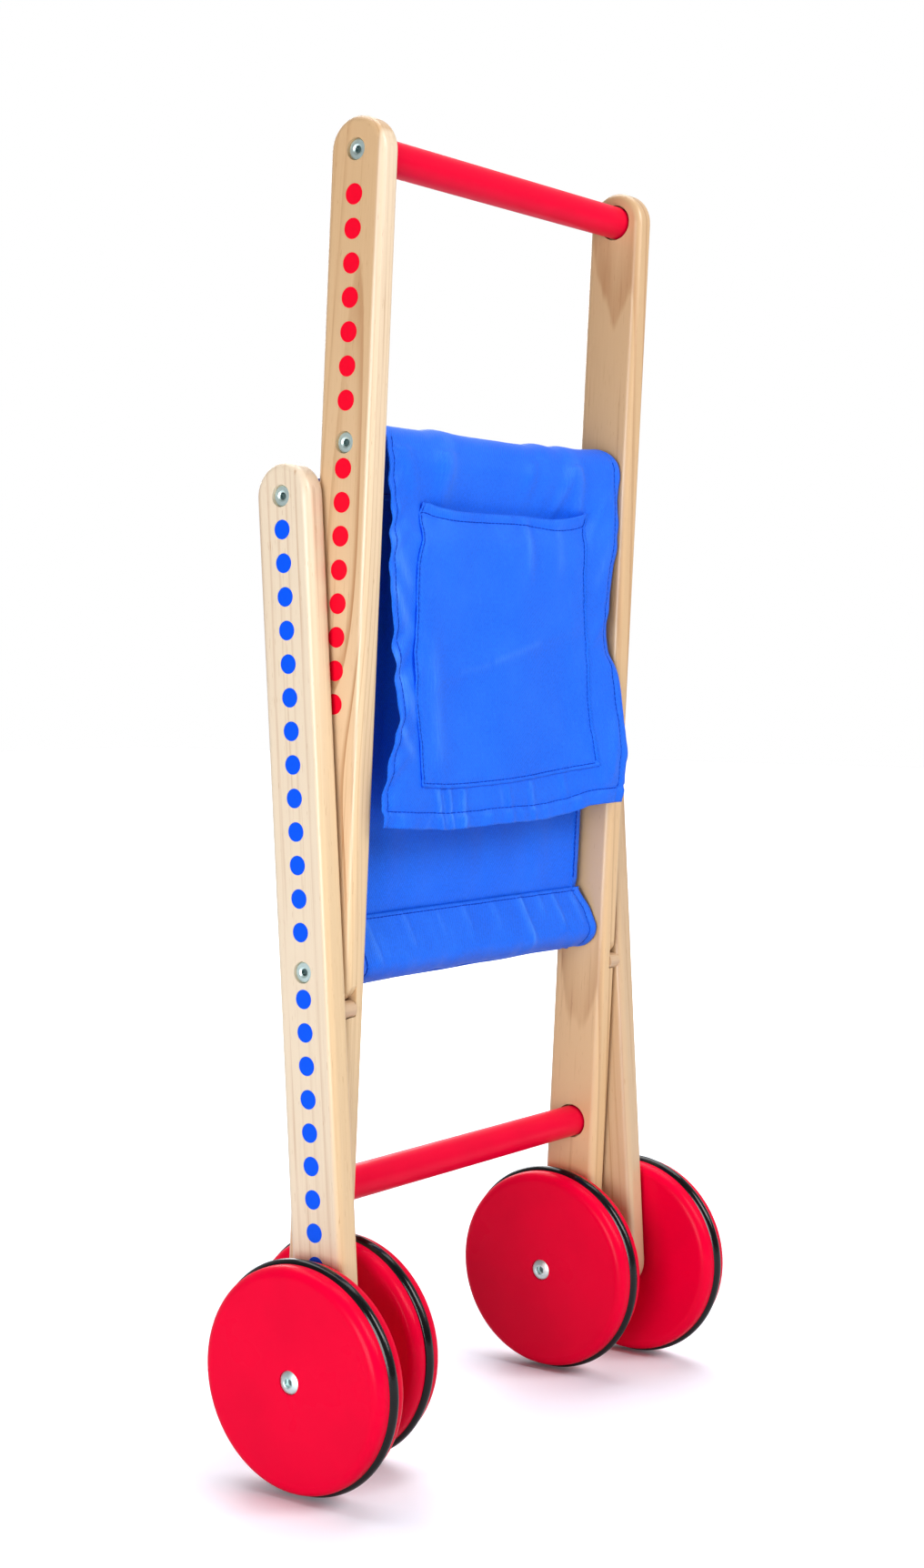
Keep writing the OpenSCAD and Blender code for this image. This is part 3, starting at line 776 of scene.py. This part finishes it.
# Painted sheen on the pocket: lighter lines that stand in for highlights along its folds.
POCKET_PAINTED_SHEEN = (
    ((15, 436), (13, 418), 0.26, 2.6), ((-14, 371), (22, 380), 0.22, 1.6),
    ((-40, 366), (-20, 369), 0.14, 1.4), ((42, 436), (41, 418), 0.2, 3.0),
    ((-64, 372), (-59, 330), 0.22, 4.0),
)
# Painted sheen on the roll: lighter lines that stand in for highlights along its creases.
ROLL_PAINTED_SHEEN = (
    ((-85, 251), (-83, 234), 0.45, 1.0), ((-56, 251), (-55, 239), 0.28, 1.1),
    ((-30, 251), (-29, 243), 0.14, 1.4), ((-9, 251), (-8, 244), 0.2, 1.2),
    ((16, 251), (17, 243), 0.14, 1.3), ((39, 252), (41, 230), 0.5, 1.0), ((56, 251), (56.5, 246), 0.3, 0.9),
    ((69, 251), (70, 238), 0.4, 1.0), ((86, 250), (87, 238), 0.35, 1.0),
)
POCKET_LEFT = (
    (313.6, -72.6), (331, -73.2), (341, -74.8), (352, -77), (366, -77.7), (380, -77.6), (393, -76.2),
    (407, -75.8), (418, -74), (429, -70), (437, -68.6), (443.4, -65.4),
)
POCKET_RIGHT = (
    (318, 74), (338, 70.5), (358, 69), (373, 69.4), (396, 67.8), (417, 65.8), (434, 67.4), (445, 69),
)
POCKET_FLOOR = ((-73, 313.6), (-50, 312), (-26, 312.1), (14, 313.7), (46, 316.3), (74, 318.4))
POCKET_MOUTH = (
    (-66, 443.6), (-58, 442), (-45, 440.7), (-14, 440.9), (14, 441.4), (36, 440.9), (49, 441.9),
    (60, 443.6), (68, 445.6),
)
MOUTH_HEM = ((-66, 4.6), (-20, 4.2), (20, 4.4), (50, 5.8), (68, 6.6))
ROLL_CREASES = (
    ((-85, 21), (-83, 2), 0.9, 1.9), ((-56, 21), (-55, 6), 0.6, 2.0), ((-30, 20), (-29, 9), 0.35, 2.2),
    ((-9, 21), (-8, 8), 0.5, 2.2), ((16, 21), (17, 8), 0.4, 2.2), ((39, 22), (41, 0), 1.0, 2.0),
    ((56, 21), (56.5, 12), 0.6, 1.6), ((69, 21), (70, 4), 0.9, 1.9), ((86, 20), (87, 6), 0.8, 1.7),
)


def crease_height(creases, x, z):
    """Sum of soft ridges along short lines on a cloth."""
    total = 0.0
    for (x0, z0), (x1, z1), high, wide in creases:
        run = math.hypot(x1 - x0, z1 - z0)
        along = ((x - x0) * (x1 - x0) + (z - z0) * (z1 - z0)) / run
        off = ((x - x0) * (z1 - z0) - (z - z0) * (x1 - x0)) / run
        if -4 * wide < along < run + 4 * wide and abs(off) < 3 * wide:
            start = ease((along + 3 * wide) / (4 * wide))
            end = ease((run + 3 * wide - along) / (4 * wide))
            total += high * bell(off, wide) * start * end
    return total


def hem_relief(edge, line, along, seed, pucker=0.5):
    """Raised doubled cloth from an edge to its stitch line, a groove at the stitches and puckers there."""
    if edge > line + 16:
        return 0.0
    step = 0.4 * (1 - ease((edge - line + 0.6) / 1.4))
    groove = -0.85 * bell(edge - line, 1.2)
    gather = pucker * waves(along / 6.0, edge / 9.0, seed) * bell(edge - line * 0.7, 5.0)
    return step + groove + gather


def flap_swell(x, down):
    """How far the hanging flap stands out from the plane in front of its rod."""
    across = x / FLAP_HALF
    middle = through(SWELL_MIDDLE, down)
    left = (through(SWELL_LEFT, down) - middle) * ease((-across - 0.5) / 0.5)
    right = (through(SWELL_RIGHT, down) - middle) * ease((across - 0.5) / 0.5)
    fold = 0.9 * ease(down / 120) * math.sin(across * 7.2 + 0.9 + down * 0.006)
    ripple = 0.55 * waves(x / 34, down / 52, 3.1) + 0.22 * waves(x / 13, down / 19, 8.7)
    return middle + left + right + fold + ripple * ease((down + 10) / 40)


def flap_face(x, z):
    """Y of the middle of the hanging flap's cloth."""
    down = BACKREST.z - z
    crest = CREST + (through(FLAP_CREST, x) - CREST) * (1 - 0.85 * ease(down / 70))
    return BACKREST.y - crest - flap_swell(x, down) - crease_height(FLAP_CREASES, x, z)


def flap_place(across, along):
    """Point of the flap's cloth, in metres. along runs from behind the rod's top to the hem."""
    hem = through(FLAP_HEM, across * HEM_HALF)
    down = along * (hem + WRAP) - WRAP
    left, right = through(FLAP_LEFT, down), through(FLAP_RIGHT, down)
    x = left + (right - left) * (across + 1) / 2
    edge_left, edge_right, edge_low = x - left, right - x, hem - down
    relief = (
        hem_relief(edge_left, LEFT_HEM, down, 1.7) + hem_relief(edge_right, RIGHT_HEM, down, 5.3)
        + hem_relief(edge_low, LOW_HEM, x, 9.1, 0.7)
    )
    relief += (
        4.2 * waves((down + 0.8 * edge_left) / 10, 3.3, 0.2) * bell(edge_left, 14)
        + 0.9 * waves((down + 0.6 * edge_right) / 12, 7.1, 0.6) * bell(edge_right, 12)
        + 1.2 * waves(x / 11, 5.9, 0.1) * bell(edge_low, 9)
    ) * ease(down / 30)
    relief -= 2.6 * bell(edge_right, 4.5) * ease(down / 14) * ease((TURNED_BACK - down) / 30)
    x += waves(down / 12, 0.4, across) * (bell(edge_left, 7) + 0.25 * bell(edge_right, 7))
    if down < 0:
        crest = through(FLAP_CREST, x)
        turn = math.pi / 2 + down / CREST
        reach = crest + 0.6 * relief + flap_swell(x, 0) * ease(turn / (math.pi / 2))
        return Vector((x, BACKREST.y - reach * math.sin(turn), BACKREST.z + reach * math.cos(turn))) * MM
    z = BACKREST.z - down + 0.6 * waves(x / 15, 2.2, 6.0) * bell(edge_low, 8)
    return Vector((x, flap_face(x, z) - relief, z)) * MM


def pocket_place(across, rise):
    """Point of the pocket's cloth, in metres. rise runs from its floor to its mouth."""
    x = across * POCKET_HALF
    floor, mouth = through(POCKET_FLOOR, x), through(POCKET_MOUTH, x)
    z = floor + (mouth - floor) * rise
    left, right = through(POCKET_LEFT, z), through(POCKET_RIGHT, z)
    x = left + (right - left) * (across + 1) / 2
    edge_side, edge_low, edge_top = min(x - left, right - x), z - floor, mouth - z
    free = (1 - across**4) * ease(rise * 1.4)
    gape = 2.3 * bell(x - 49, 13) * bell(edge_top, 9) + 1.7 * bell(x + 36, 17) * bell(edge_top, 8)
    gape += 2.2 * free * bell(edge_top, 13)
    soft = 0.5 * waves(x / 30, z / 38, 4.4) * free
    relief = (
        hem_relief(edge_side, POCKET_SEAM, z, 2.9, 0.45) + hem_relief(edge_low, POCKET_SEAM, x, 7.7, 0.45)
        + hem_relief(edge_top, through(MOUTH_HEM, x), x, 3.3, 0.6)
    )
    return Vector((x, flap_face(x, z) - 0.85 - 1.6 * free - gape - soft - relief, z)) * MM


def mouth_seam(across):
    """How far up the pocket the seam of its mouth lies."""
    x = POCKET_HALF * across
    return 1 - through(MOUTH_HEM, x) / (through(POCKET_MOUTH, x) - through(POCKET_FLOOR, x))


class ClothStrip:
    """A length of cloth led along a path in the side view of one half of the frame."""

    def __init__(self, half, corners, span):
        self.half = half
        for _ in range(2):
            cut = [corners[0]]
            for a, b in zip(corners, corners[1:]):
                cut += [a.lerp(b, 0.25), a.lerp(b, 0.75)]
            corners = cut + [corners[-1]]
        self.points = corners
        self.reach = [0.0]
        for a, b in zip(corners, corners[1:]):
            self.reach.append(self.reach[-1] + (b - a).length)
        self.length = self.reach[-1]
        self.span = span

    def at(self, run):
        """Place and outward side of the path at a distance from its start."""
        run = min(max(run, 0.0), self.length)
        low, high = 0, len(self.reach) - 1
        while high - low > 1:
            mid = (low + high) // 2
            low, high = (mid, high) if self.reach[mid] <= run else (low, mid)
        a, b = self.points[low], self.points[high]
        share = (run - self.reach[low]) / max(self.reach[high] - self.reach[low], 1e-9)
        ahead = (b - a).normalized()
        return a.lerp(b, share), Vector((ahead.y, -ahead.x))

    def place(self, across, along):
        """Point of the cloth, in metres."""
        run = along * self.length
        spot, out = self.at(run)
        half_width, raise_by = self.span(across, run, spot)
        spot = spot + out * raise_by
        return self.half @ (Vector((across * half_width, spot.x, spot.y)) * MM)


def drop_round(middle, tip, radius, up, steps=40):
    """Corners of cloth led round a rod from the tip of its tunnel and back to it, front side first."""
    lean = math.asin(TUNNEL_NECK / tip)
    turn = math.pi + 2 * lean
    corners = []
    for i in range(steps + 1):
        a = math.pi - lean + turn * i / steps
        r = through(radius, math.degrees(a))
        corners.append(Vector((r * math.cos(a), middle + up * r * math.sin(a))))
    return corners


def top_tunnel(top, tip):
    """Corners of cloth led round its upper rod from behind and sewn down on itself in front."""
    corners = drop_round(top, tip, TUNNEL, -1)
    corners.reverse()
    return [*corners, Vector((-PLY, top - tip)), Vector((-PLY, top - tip - 3))]


# Pieces


class PUSHCHAIR_OT_frame(bpy.types.Operator):
    """Varnished pine on rails, rods and stop dowels"""

    bl_idname = "pushchair.frame"
    bl_label = "Pine frame"

    def execute(self, context):
        rails = context.scene.pushchair_rails
        handle = (rails.inner_width + rails.rail_thickness) / 2
        seat = handle + rails.rail_thickness + rails.rail_gap
        # Top and edge tones are partly the wood's own colour and partly painted light and shade: for how the
        # light changes with height, and for the brighter lit front edges.
        honey, tan, straw = (0.74, 0.53, 0.33), (0.62, 0.4, 0.21), (0.745, 0.53, 0.3)
        boards = {
            "handle_rail_left": {
                "turn": (-LEAN - math.radians(1), math.radians(0.6), 0),
                "heart": (-handle - 0.03, -0.0046, 0.315),
                "light": honey, "top": tan, "edge": (straw, (0.76, 0.6, 0.42)),
                "pitch": 0.0026, "strength": 0.95, "bow": 0.004,
            },
            "handle_rail_right": {
                "turn": (-LEAN, math.radians(2), 0), "heart": (handle + 0.0566, -0.0172, 0.545),
                "light": (0.7, 0.46, 0.24), "top": tan, "pitch": 0.007, "strength": 0.8,
            },
            "seat_rail_left": {
                "turn": (LEAN, math.radians(-0.5), 0), "heart": (-seat + 0.01, -0.03, 0.3),
                "light": (0.76, 0.625, 0.465), "edge": (straw, (0.8, 0.7, 0.56)),
                "pitch": 0.005, "strength": 0.38,
            },
            "seat_rail_right": {
                "turn": (LEAN, math.radians(0.7), 0), "heart": (seat - 0.012, 0.024, 0.22),
                "light": (0.62, 0.43, 0.255), "top": honey, "pitch": 0.005, "strength": 0.8,
            },
        }
        for node, grain in boards.items():
            wear(node, pine("pine_" + node, **grain))
        lying = (0, -math.pi / 2, 0)
        for node, shift in (("backrest_rod", 0.11), ("pivot_rod", 0.23), ("seat_front_rod", 0.37)):
            low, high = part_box(node)
            heart = (low + high) / 2 + Vector((shift, 0.02, 0.012))
            wear(node, pine("pine_" + node, lying, heart))
        dowel = pine("pine_stop_dowel", lying, (0.05, 0.02, 0.2),
                     light=(0.62, 0.42, 0.26), dark=(0.42, 0.25, 0.14))
        for node in ("stop_dowel_left", "stop_dowel_right"):
            wear(node, dowel)
        return {"FINISHED"}


class PUSHCHAIR_OT_bars(bpy.types.Operator):
    """Red lacquer on the handle bar and the lower bar"""

    bl_idname = "pushchair.bars"
    bl_label = "Red bars"

    def execute(self, context):
        coat = lacquer("red_lacquer_bar", context.scene.pushchair_colours.lacquer_red, 0.34, 0.06)
        for node in ("handle_bar", "lower_bar"):
            wear(node, coat)
        return {"FINISHED"}


class PUSHCHAIR_OT_wheels(bpy.types.Operator):
    """Red lacquered wheels with black ring tyres"""

    bl_idname = "pushchair.wheels"
    bl_label = "Wheels and tyres"

    def execute(self, context):
        look = context.scene.pushchair_colours
        coat = lacquer("red_lacquer_wheel", look.lacquer_red, 0.3, 0.04)
        black = rubber("tyre_rubber", look.tyre_black)
        for end in ("front", "rear"):
            for side in ("left", "right"):
                wear(f"{end}_wheel_{side}", coat)
                wear(f"{end}_tyre_{side}", black)
        return {"FINISHED"}


class PUSHCHAIR_OT_hardware(bpy.types.Operator):
    """Plated bolts and inserts, and nylon washers"""

    bl_idname = "pushchair.hardware"
    bl_label = "Bolts and washers"

    def execute(self, context):
        look = context.scene.pushchair_colours
        insert = plated("zinc_insert", tuple(0.85 * part for part in look.zinc), gloss=0.38)
        washer = mottled("nylon_washer", look.nylon, (0.4, 0.38, 0.33), (150.0, 3.0), (0.3, 0.8, 0.2),
                         (0.42, 0.55))
        for node in frame["nodes"]:
            if "bolt" in node:
                low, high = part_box(node)
                # Radius of the key socket; the bolt's colour is darkened inside it as painted shade.
                key = 1.5 * MM if "axle" in node else 1.6 * MM
                wear(node, plated("zinc_" + node, look.zinc, (low + high) / 2, key, 0.46))
            elif "insert" in node:
                wear(node, insert)
            elif "washer" in node:
                wear(node, washer)
        return {"FINISHED"}


class PUSHCHAIR_OT_dots(bpy.types.Operator):
    """Rows of printed dots on the outer faces of the rails"""

    bl_idname = "pushchair.dots"
    bl_label = "Printed dots"

    def row(self, name, places, face, turn, diameter, film, mat, body):
        """A row of dots on each side, sunk a hair into the rail's face."""
        sunk = 0.01 * MM
        for side, word in ((LEFT, "left"), (RIGHT, "right")):
            bm = bmesh.new()
            for along in places:
                spot = turn @ Matrix.Translation((side * (face + film / 2 - sunk), 0, along))
                bmesh.ops.create_cone(
                    bm, cap_ends=True, segments=40, radius1=diameter / 2, radius2=diameter / 2, depth=film,
                    matrix=spot @ Matrix.Rotation(math.pi / 2, 4, "Y"),
                )
            new_piece(f"{name}_{word}", bm, mat, body, smooth=False)

    def execute(self, context):
        dots, rails = context.scene.pushchair_dots, context.scene.pushchair_rails
        look = context.scene.pushchair_colours
        outer = rails.inner_width / 2 + rails.rail_thickness
        seat_outer = outer + rails.rail_gap + rails.rail_thickness
        clear = dots.pitch * 0.72
        red = [rails.handle_reach - dots.red_start - i * dots.pitch for i in range(dots.red_count)]
        red = [z for z in red if abs(z - rails.backrest_reach) > clear]
        most = int((rails.seat_reach + rails.axle_reach) / dots.pitch)
        blue = [rails.seat_reach - i * dots.pitch for i in range(1, most + 1)]
        blue = [z for z in blue if z > -rails.axle_reach + clear and abs(z) > clear]
        self.row("red_dots", red, outer, HANDLE_HALF, dots.red_diameter, dots.film,
                 printed("printed_red", look.dot_red), "handle_frame")
        self.row("blue_dots", blue, seat_outer, SEAT_HALF, dots.blue_diameter, dots.film,
                 printed("printed_blue", look.dot_blue), "seat_frame")
        return {"FINISHED"}


class PUSHCHAIR_OT_flap(bpy.types.Operator):
    """Flap that hangs over the backrest rod, with its stitched hems"""

    bl_idname = "pushchair.flap"
    bl_label = "Hanging flap"

    def execute(self, context):
        bm = sheet_grid(164, 160, flap_place, (0.196, 0.195),
                        lambda spot: crease_height(FLAP_PAINTED_SHEEN, spot.x, spot.z))
        seams = [upright(-0.955, 0.09, 0.955), upright(0.945, 0.09, 0.955), level(0.961, -0.955, 0.945)]
        flap, thread = sewn("hanging_flap", "flap_stitches", "handle_frame", bm, flap_place, seams, [FRONT])
        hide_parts("pocket_flap")
        return {"FINISHED"}


class PUSHCHAIR_OT_pocket(bpy.types.Operator):
    """Patch pocket sewn on the flap, open at its top"""

    bl_idname = "pushchair.pocket"
    bl_label = "Patch pocket"

    def execute(self, context):
        bm = sheet_grid(118, 110, pocket_place, (0.143, 0.129),
                        lambda spot: crease_height(POCKET_PAINTED_SHEEN, spot.x, spot.z))
        seams = [upright(side, 0.0125, 0.99) for side in (-0.977, 0.977)]
        seams += [level(0.0125, -0.977, 0.977), [(t, mouth_seam(t)) for t in spread(-0.97, 0.97)]]
        pocket, thread = sewn("patch_pocket", "pocket_stitches", "handle_frame", bm, pocket_place, seams,
                              [FRONT])
        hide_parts("flap_pocket")
        return {"FINISHED"}


class PUSHCHAIR_OT_backrest(bpy.types.Operator):
    """Back panel, led round the backrest rod and rolled round the pivot rod"""

    bl_idname = "pushchair.backrest"
    bl_label = "Back panel"

    def execute(self, context):
        tip = context.scene.pushchair_cloth.seam / MM
        top = context.scene.pushchair_rails.backrest_reach / MM
        corners = [Vector((-PLY, tip + 1.4)), Vector((-PLY, tip)), *drop_round(0, tip, ROLL, 1)]
        corners += [Vector((0, tip + (top - 2 * tip) * i / 12)) for i in range(13)]
        corners += top_tunnel(top, tip)

        def span(across, run, spot):
            z = spot.y
            inside = min(z - tip, top - tip - z)
            half_width = PANEL_HALF + TUNNEL_FLARE * ease(-inside / 12)
            x = across * half_width
            lift = hem_relief(half_width - abs(x), PANEL_HEM, z, 2.0 + across, 0.35)
            lift += 0.4 * waves(x / 30, run / 40, 1.5)
            lift += 0.9 * waves(x / 15, run / 130, 4.1) * ease(inside / 10)
            if z < tip + 4 and run < ROLL_FRONT:
                lift += crease_height(ROLL_CREASES, x, z) - 0.2 * bell(z - tip, 1.3)
                lift += 0.5 * waves(x / 9, run / 14, 5.5) * ease(run / 6)
            return half_width, lift

        strip = ClothStrip(HANDLE_HALF, corners, span)
        flat = (0.19, strip.length * MM)
        bm = sheet_grid(120, 230, strip.place, flat,
                        lambda spot: crease_height(ROLL_PAINTED_SHEEN, spot.x, spot.z) if spot.y < 0 else 0.0)
        seams = [level(along, -0.97, 0.97) for along in (1.9 / strip.length, 1 - 3.0 / strip.length)]
        for side in (-0.945, 0.945):
            seams += [upright(side, 0.012, 0.1), upright(side, 0.24, 0.74)]
        panel, thread = sewn("back_panel", "back_stitches", "handle_frame", bm, strip.place, seams,
                             [FRONT, BACK])
        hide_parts("backrest_sling")
        return {"FINISHED"}


class PUSHCHAIR_OT_seat(bpy.types.Operator):
    """Seat panel, hugging the roll on the pivot and led round the seat's front rod"""

    bl_idname = "pushchair.seat"
    bl_label = "Seat panel"

    def execute(self, context):
        tip = context.scene.pushchair_cloth.seam / MM
        top = context.scene.pushchair_rails.seat_reach / MM
        lean = math.asin(ROLL_HUG / (top - tip))
        hugging = [lean - math.radians(70) * (1 - i / 10) for i in range(11)]
        corners = [Vector((ROLL_HUG * math.cos(a), ROLL_HUG * math.sin(a))) for a in hugging]
        start, end = corners[-1], Vector((0, top - tip))
        corners += [start.lerp(end, i / 12) for i in range(1, 13)]
        corners += top_tunnel(top, tip)

        def span(across, run, spot):
            half_width = PANEL_HALF + TUNNEL_FLARE * ease((spot.y - top + tip) / 12)
            x = across * half_width
            lift = hem_relief(half_width - abs(x), PANEL_HEM, run, 6.0 + across, 0.35)
            lift += 0.5 * waves(x / 32, run / 40, 7.5)
            return half_width, lift

        strip = ClothStrip(SEAT_HALF, corners, span)
        flat = (0.19, strip.length * MM)
        bm = sheet_grid(100, 150, strip.place, flat)
        seams = [level(1 - 3.0 / strip.length, -0.97, 0.97)]
        seams += [upright(side, 0.06, 0.68) for side in (-0.951, 0.951)]
        panel, thread = sewn("seat_panel", "seat_stitches", "seat_frame", bm, strip.place, seams,
                             [FRONT, BACK])
        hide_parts("seat_sling")
        return {"FINISHED"}


class PUSHCHAIR_OT_stage(bpy.types.Operator):
    """Pale floor, soft light and the camera"""

    bl_idname = "pushchair.stage"
    bl_label = "Studio"

    def lamp(self, name, kind, ahead, **settings):
        """A light that shines along a direction."""
        light = bpy.data.lights.new(name, kind)
        for key, value in settings.items():
            setattr(light, key, value)
        lamp = new_object(name, light)
        lamp.rotation_euler = ahead.to_track_quat("-Z", "Y").to_euler()
        return lamp

    def floor(self, size):
        """A floor that the camera sees whiter with distance, while its shadows near the wheels stay."""
        bm = bmesh.new()
        bmesh.ops.create_grid(bm, x_segments=4, y_segments=4, size=size / 2)
        mat, shade, shader = new_material("studio_floor")
        matt = {"Base Color": (0.54, 0.55, 0.58, 1), "Roughness": 0.7, "Specular IOR Level": 0.15}
        shade.feed(shader, matt)
        far = shade.between(shade.measure("LENGTH", shade.object_place()), 0.3, 1.6)
        white = shade.mix(far, (0.38, 0.39, 0.44, 1), (0.8, 0.8, 0.8, 1))
        extra = shade.node("BsdfDiffuse", {"Color": white}).outputs[0]
        both = shade.node("AddShader", {0: shader.outputs[0], 1: extra}).outputs[0]
        seen = shade.node("LightPath").outputs["Is Camera Ray"]
        pick = shade.node("MixShader", {0: seen, 1: shader.outputs[0], 2: both}).outputs[0]
        shade.feed(shade.tree.nodes["Material Output"], {0: pick})
        floor = new_object("studio_floor", new_mesh("studio_floor", bm, mat))

    def room(self, strength):
        """A white backdrop for the camera, and light from all around, stronger from behind the part."""
        world = bpy.data.worlds.new("studio_room")
        world.use_nodes = True
        shade = Shading(world.node_tree)
        shade.tree.nodes.clear()
        ahead = shade.measure("DOT_PRODUCT", shade.node("TexCoord").outputs["Generated"], (0.8, 0.59, 0.1))
        glow = {"Color": (0.95, 0.97, 1, 1), "Strength": shade.between(ahead, -0.1, 0.9, strength, 0.6)}
        glow = shade.node("Background", glow).outputs[0]
        white = shade.node("Background", {"Color": (1, 1, 1, 1), "Strength": 1.0}).outputs[0]
        seen = shade.node("LightPath").outputs["Is Camera Ray"]
        pick = shade.node("MixShader", {0: seen, 1: glow, 2: white}).outputs[0]
        shade.node("OutputWorld", {0: pick})
        bpy.context.scene.world = world

    def camera(self, stage):
        """The camera at the photo's place and angle."""
        dip, heading = stage.camera_dip, stage.camera_heading
        ahead = Vector((math.sin(heading) * math.cos(dip), math.cos(heading) * math.cos(dip), -math.sin(dip)))
        right = Vector((math.cos(heading), -math.sin(heading), 0))
        turn = Matrix((right, right.cross(ahead), -ahead)).transposed()
        lens = bpy.data.cameras.new("studio_camera")
        lens.lens, lens.sensor_width, lens.clip_end = stage.lens, 36, 100
        camera = new_object("studio_camera", lens)
        camera.matrix_world = Matrix.Translation(stage.camera_place) @ turn.to_4x4()
        bpy.context.scene.camera = camera

    def execute(self, context):
        stage = context.scene.pushchair_stage
        self.floor(stage.floor_size)
        self.room(stage.room_light)
        lamps = (
            ("key_light", (-1.65, -0.45, 0.3), 0.25, 0.95, stage.key_power),
            ("fill_light", (0.25, -1.45, 1.4), 0.35, 0.9, stage.fill_power),
            ("edge_light", (0.75, -1.5, 0.9), 0.35, 0.5, stage.edge_power),
            ("back_light", (1.2, 1.3, 1.0), 0.3, 0.9, stage.back_power),
        )
        for name, place, height, size, watts in lamps:
            ahead = Vector((0, 0, height)) - Vector(place)
            lamp = self.lamp(name, "AREA", ahead, shape="DISK", size=size, energy=watts)
            lamp.location = place
        down = Vector((-0.3, -0.24, -1.0))
        self.lamp("top_light", "SUN", down, energy=stage.top_strength, angle=math.radians(55))
        self.camera(stage)
        context.scene.view_settings.view_transform = "Standard"
        return {"FINISHED"}


class PUSHCHAIR_PT_panel(bpy.types.Panel):
    """Steps that dress the pushchair"""

    bl_label = "Pushchair"
    bl_idname = "PUSHCHAIR_PT_panel"
    bl_space_type = "VIEW_3D"
    bl_region_type = "UI"
    bl_category = "Pushchair"

    def draw(self, context):
        for step in STEPS:
            self.layout.operator(step.bl_idname)
        for group in SETTINGS:
            settings = getattr(context.scene, group)
            box = self.layout.box()
            for key in settings.bl_rna.properties.keys():
                if key not in ("rna_type", "name"):
                    box.prop(settings, key)


SETTINGS = {
    "pushchair_rails": PushchairRails,
    "pushchair_dots": PushchairDots,
    "pushchair_cloth": PushchairCloth,
    "pushchair_colours": PushchairColours,
    "pushchair_stage": PushchairStage,
}
STEPS = (
    PUSHCHAIR_OT_frame,
    PUSHCHAIR_OT_bars,
    PUSHCHAIR_OT_wheels,
    PUSHCHAIR_OT_hardware,
    PUSHCHAIR_OT_dots,
    PUSHCHAIR_OT_backrest,
    PUSHCHAIR_OT_seat,
    PUSHCHAIR_OT_flap,
    PUSHCHAIR_OT_pocket,
    PUSHCHAIR_OT_stage,
)


def register():
    for group in SETTINGS.values():
        bpy.utils.register_class(group)
    for key, group in SETTINGS.items():
        setattr(bpy.types.Scene, key, PointerProperty(type=group))
    for step in STEPS:
        bpy.utils.register_class(step)
    bpy.utils.register_class(PUSHCHAIR_PT_panel)


def unregister():
    bpy.utils.unregister_class(PUSHCHAIR_PT_panel)
    for step in reversed(STEPS):
        bpy.utils.unregister_class(step)
    for key, group in SETTINGS.items():
        delattr(bpy.types.Scene, key)
        bpy.utils.unregister_class(group)


def main():
    register()
    bpy.ops.pushchair.frame()
    bpy.ops.pushchair.bars()
    bpy.ops.pushchair.wheels()
    bpy.ops.pushchair.hardware()
    bpy.ops.pushchair.dots()
    bpy.ops.pushchair.backrest()
    bpy.ops.pushchair.seat()
    bpy.ops.pushchair.flap()
    bpy.ops.pushchair.pocket()
    bpy.ops.pushchair.stage()


if __name__ == "__main__":
    main()
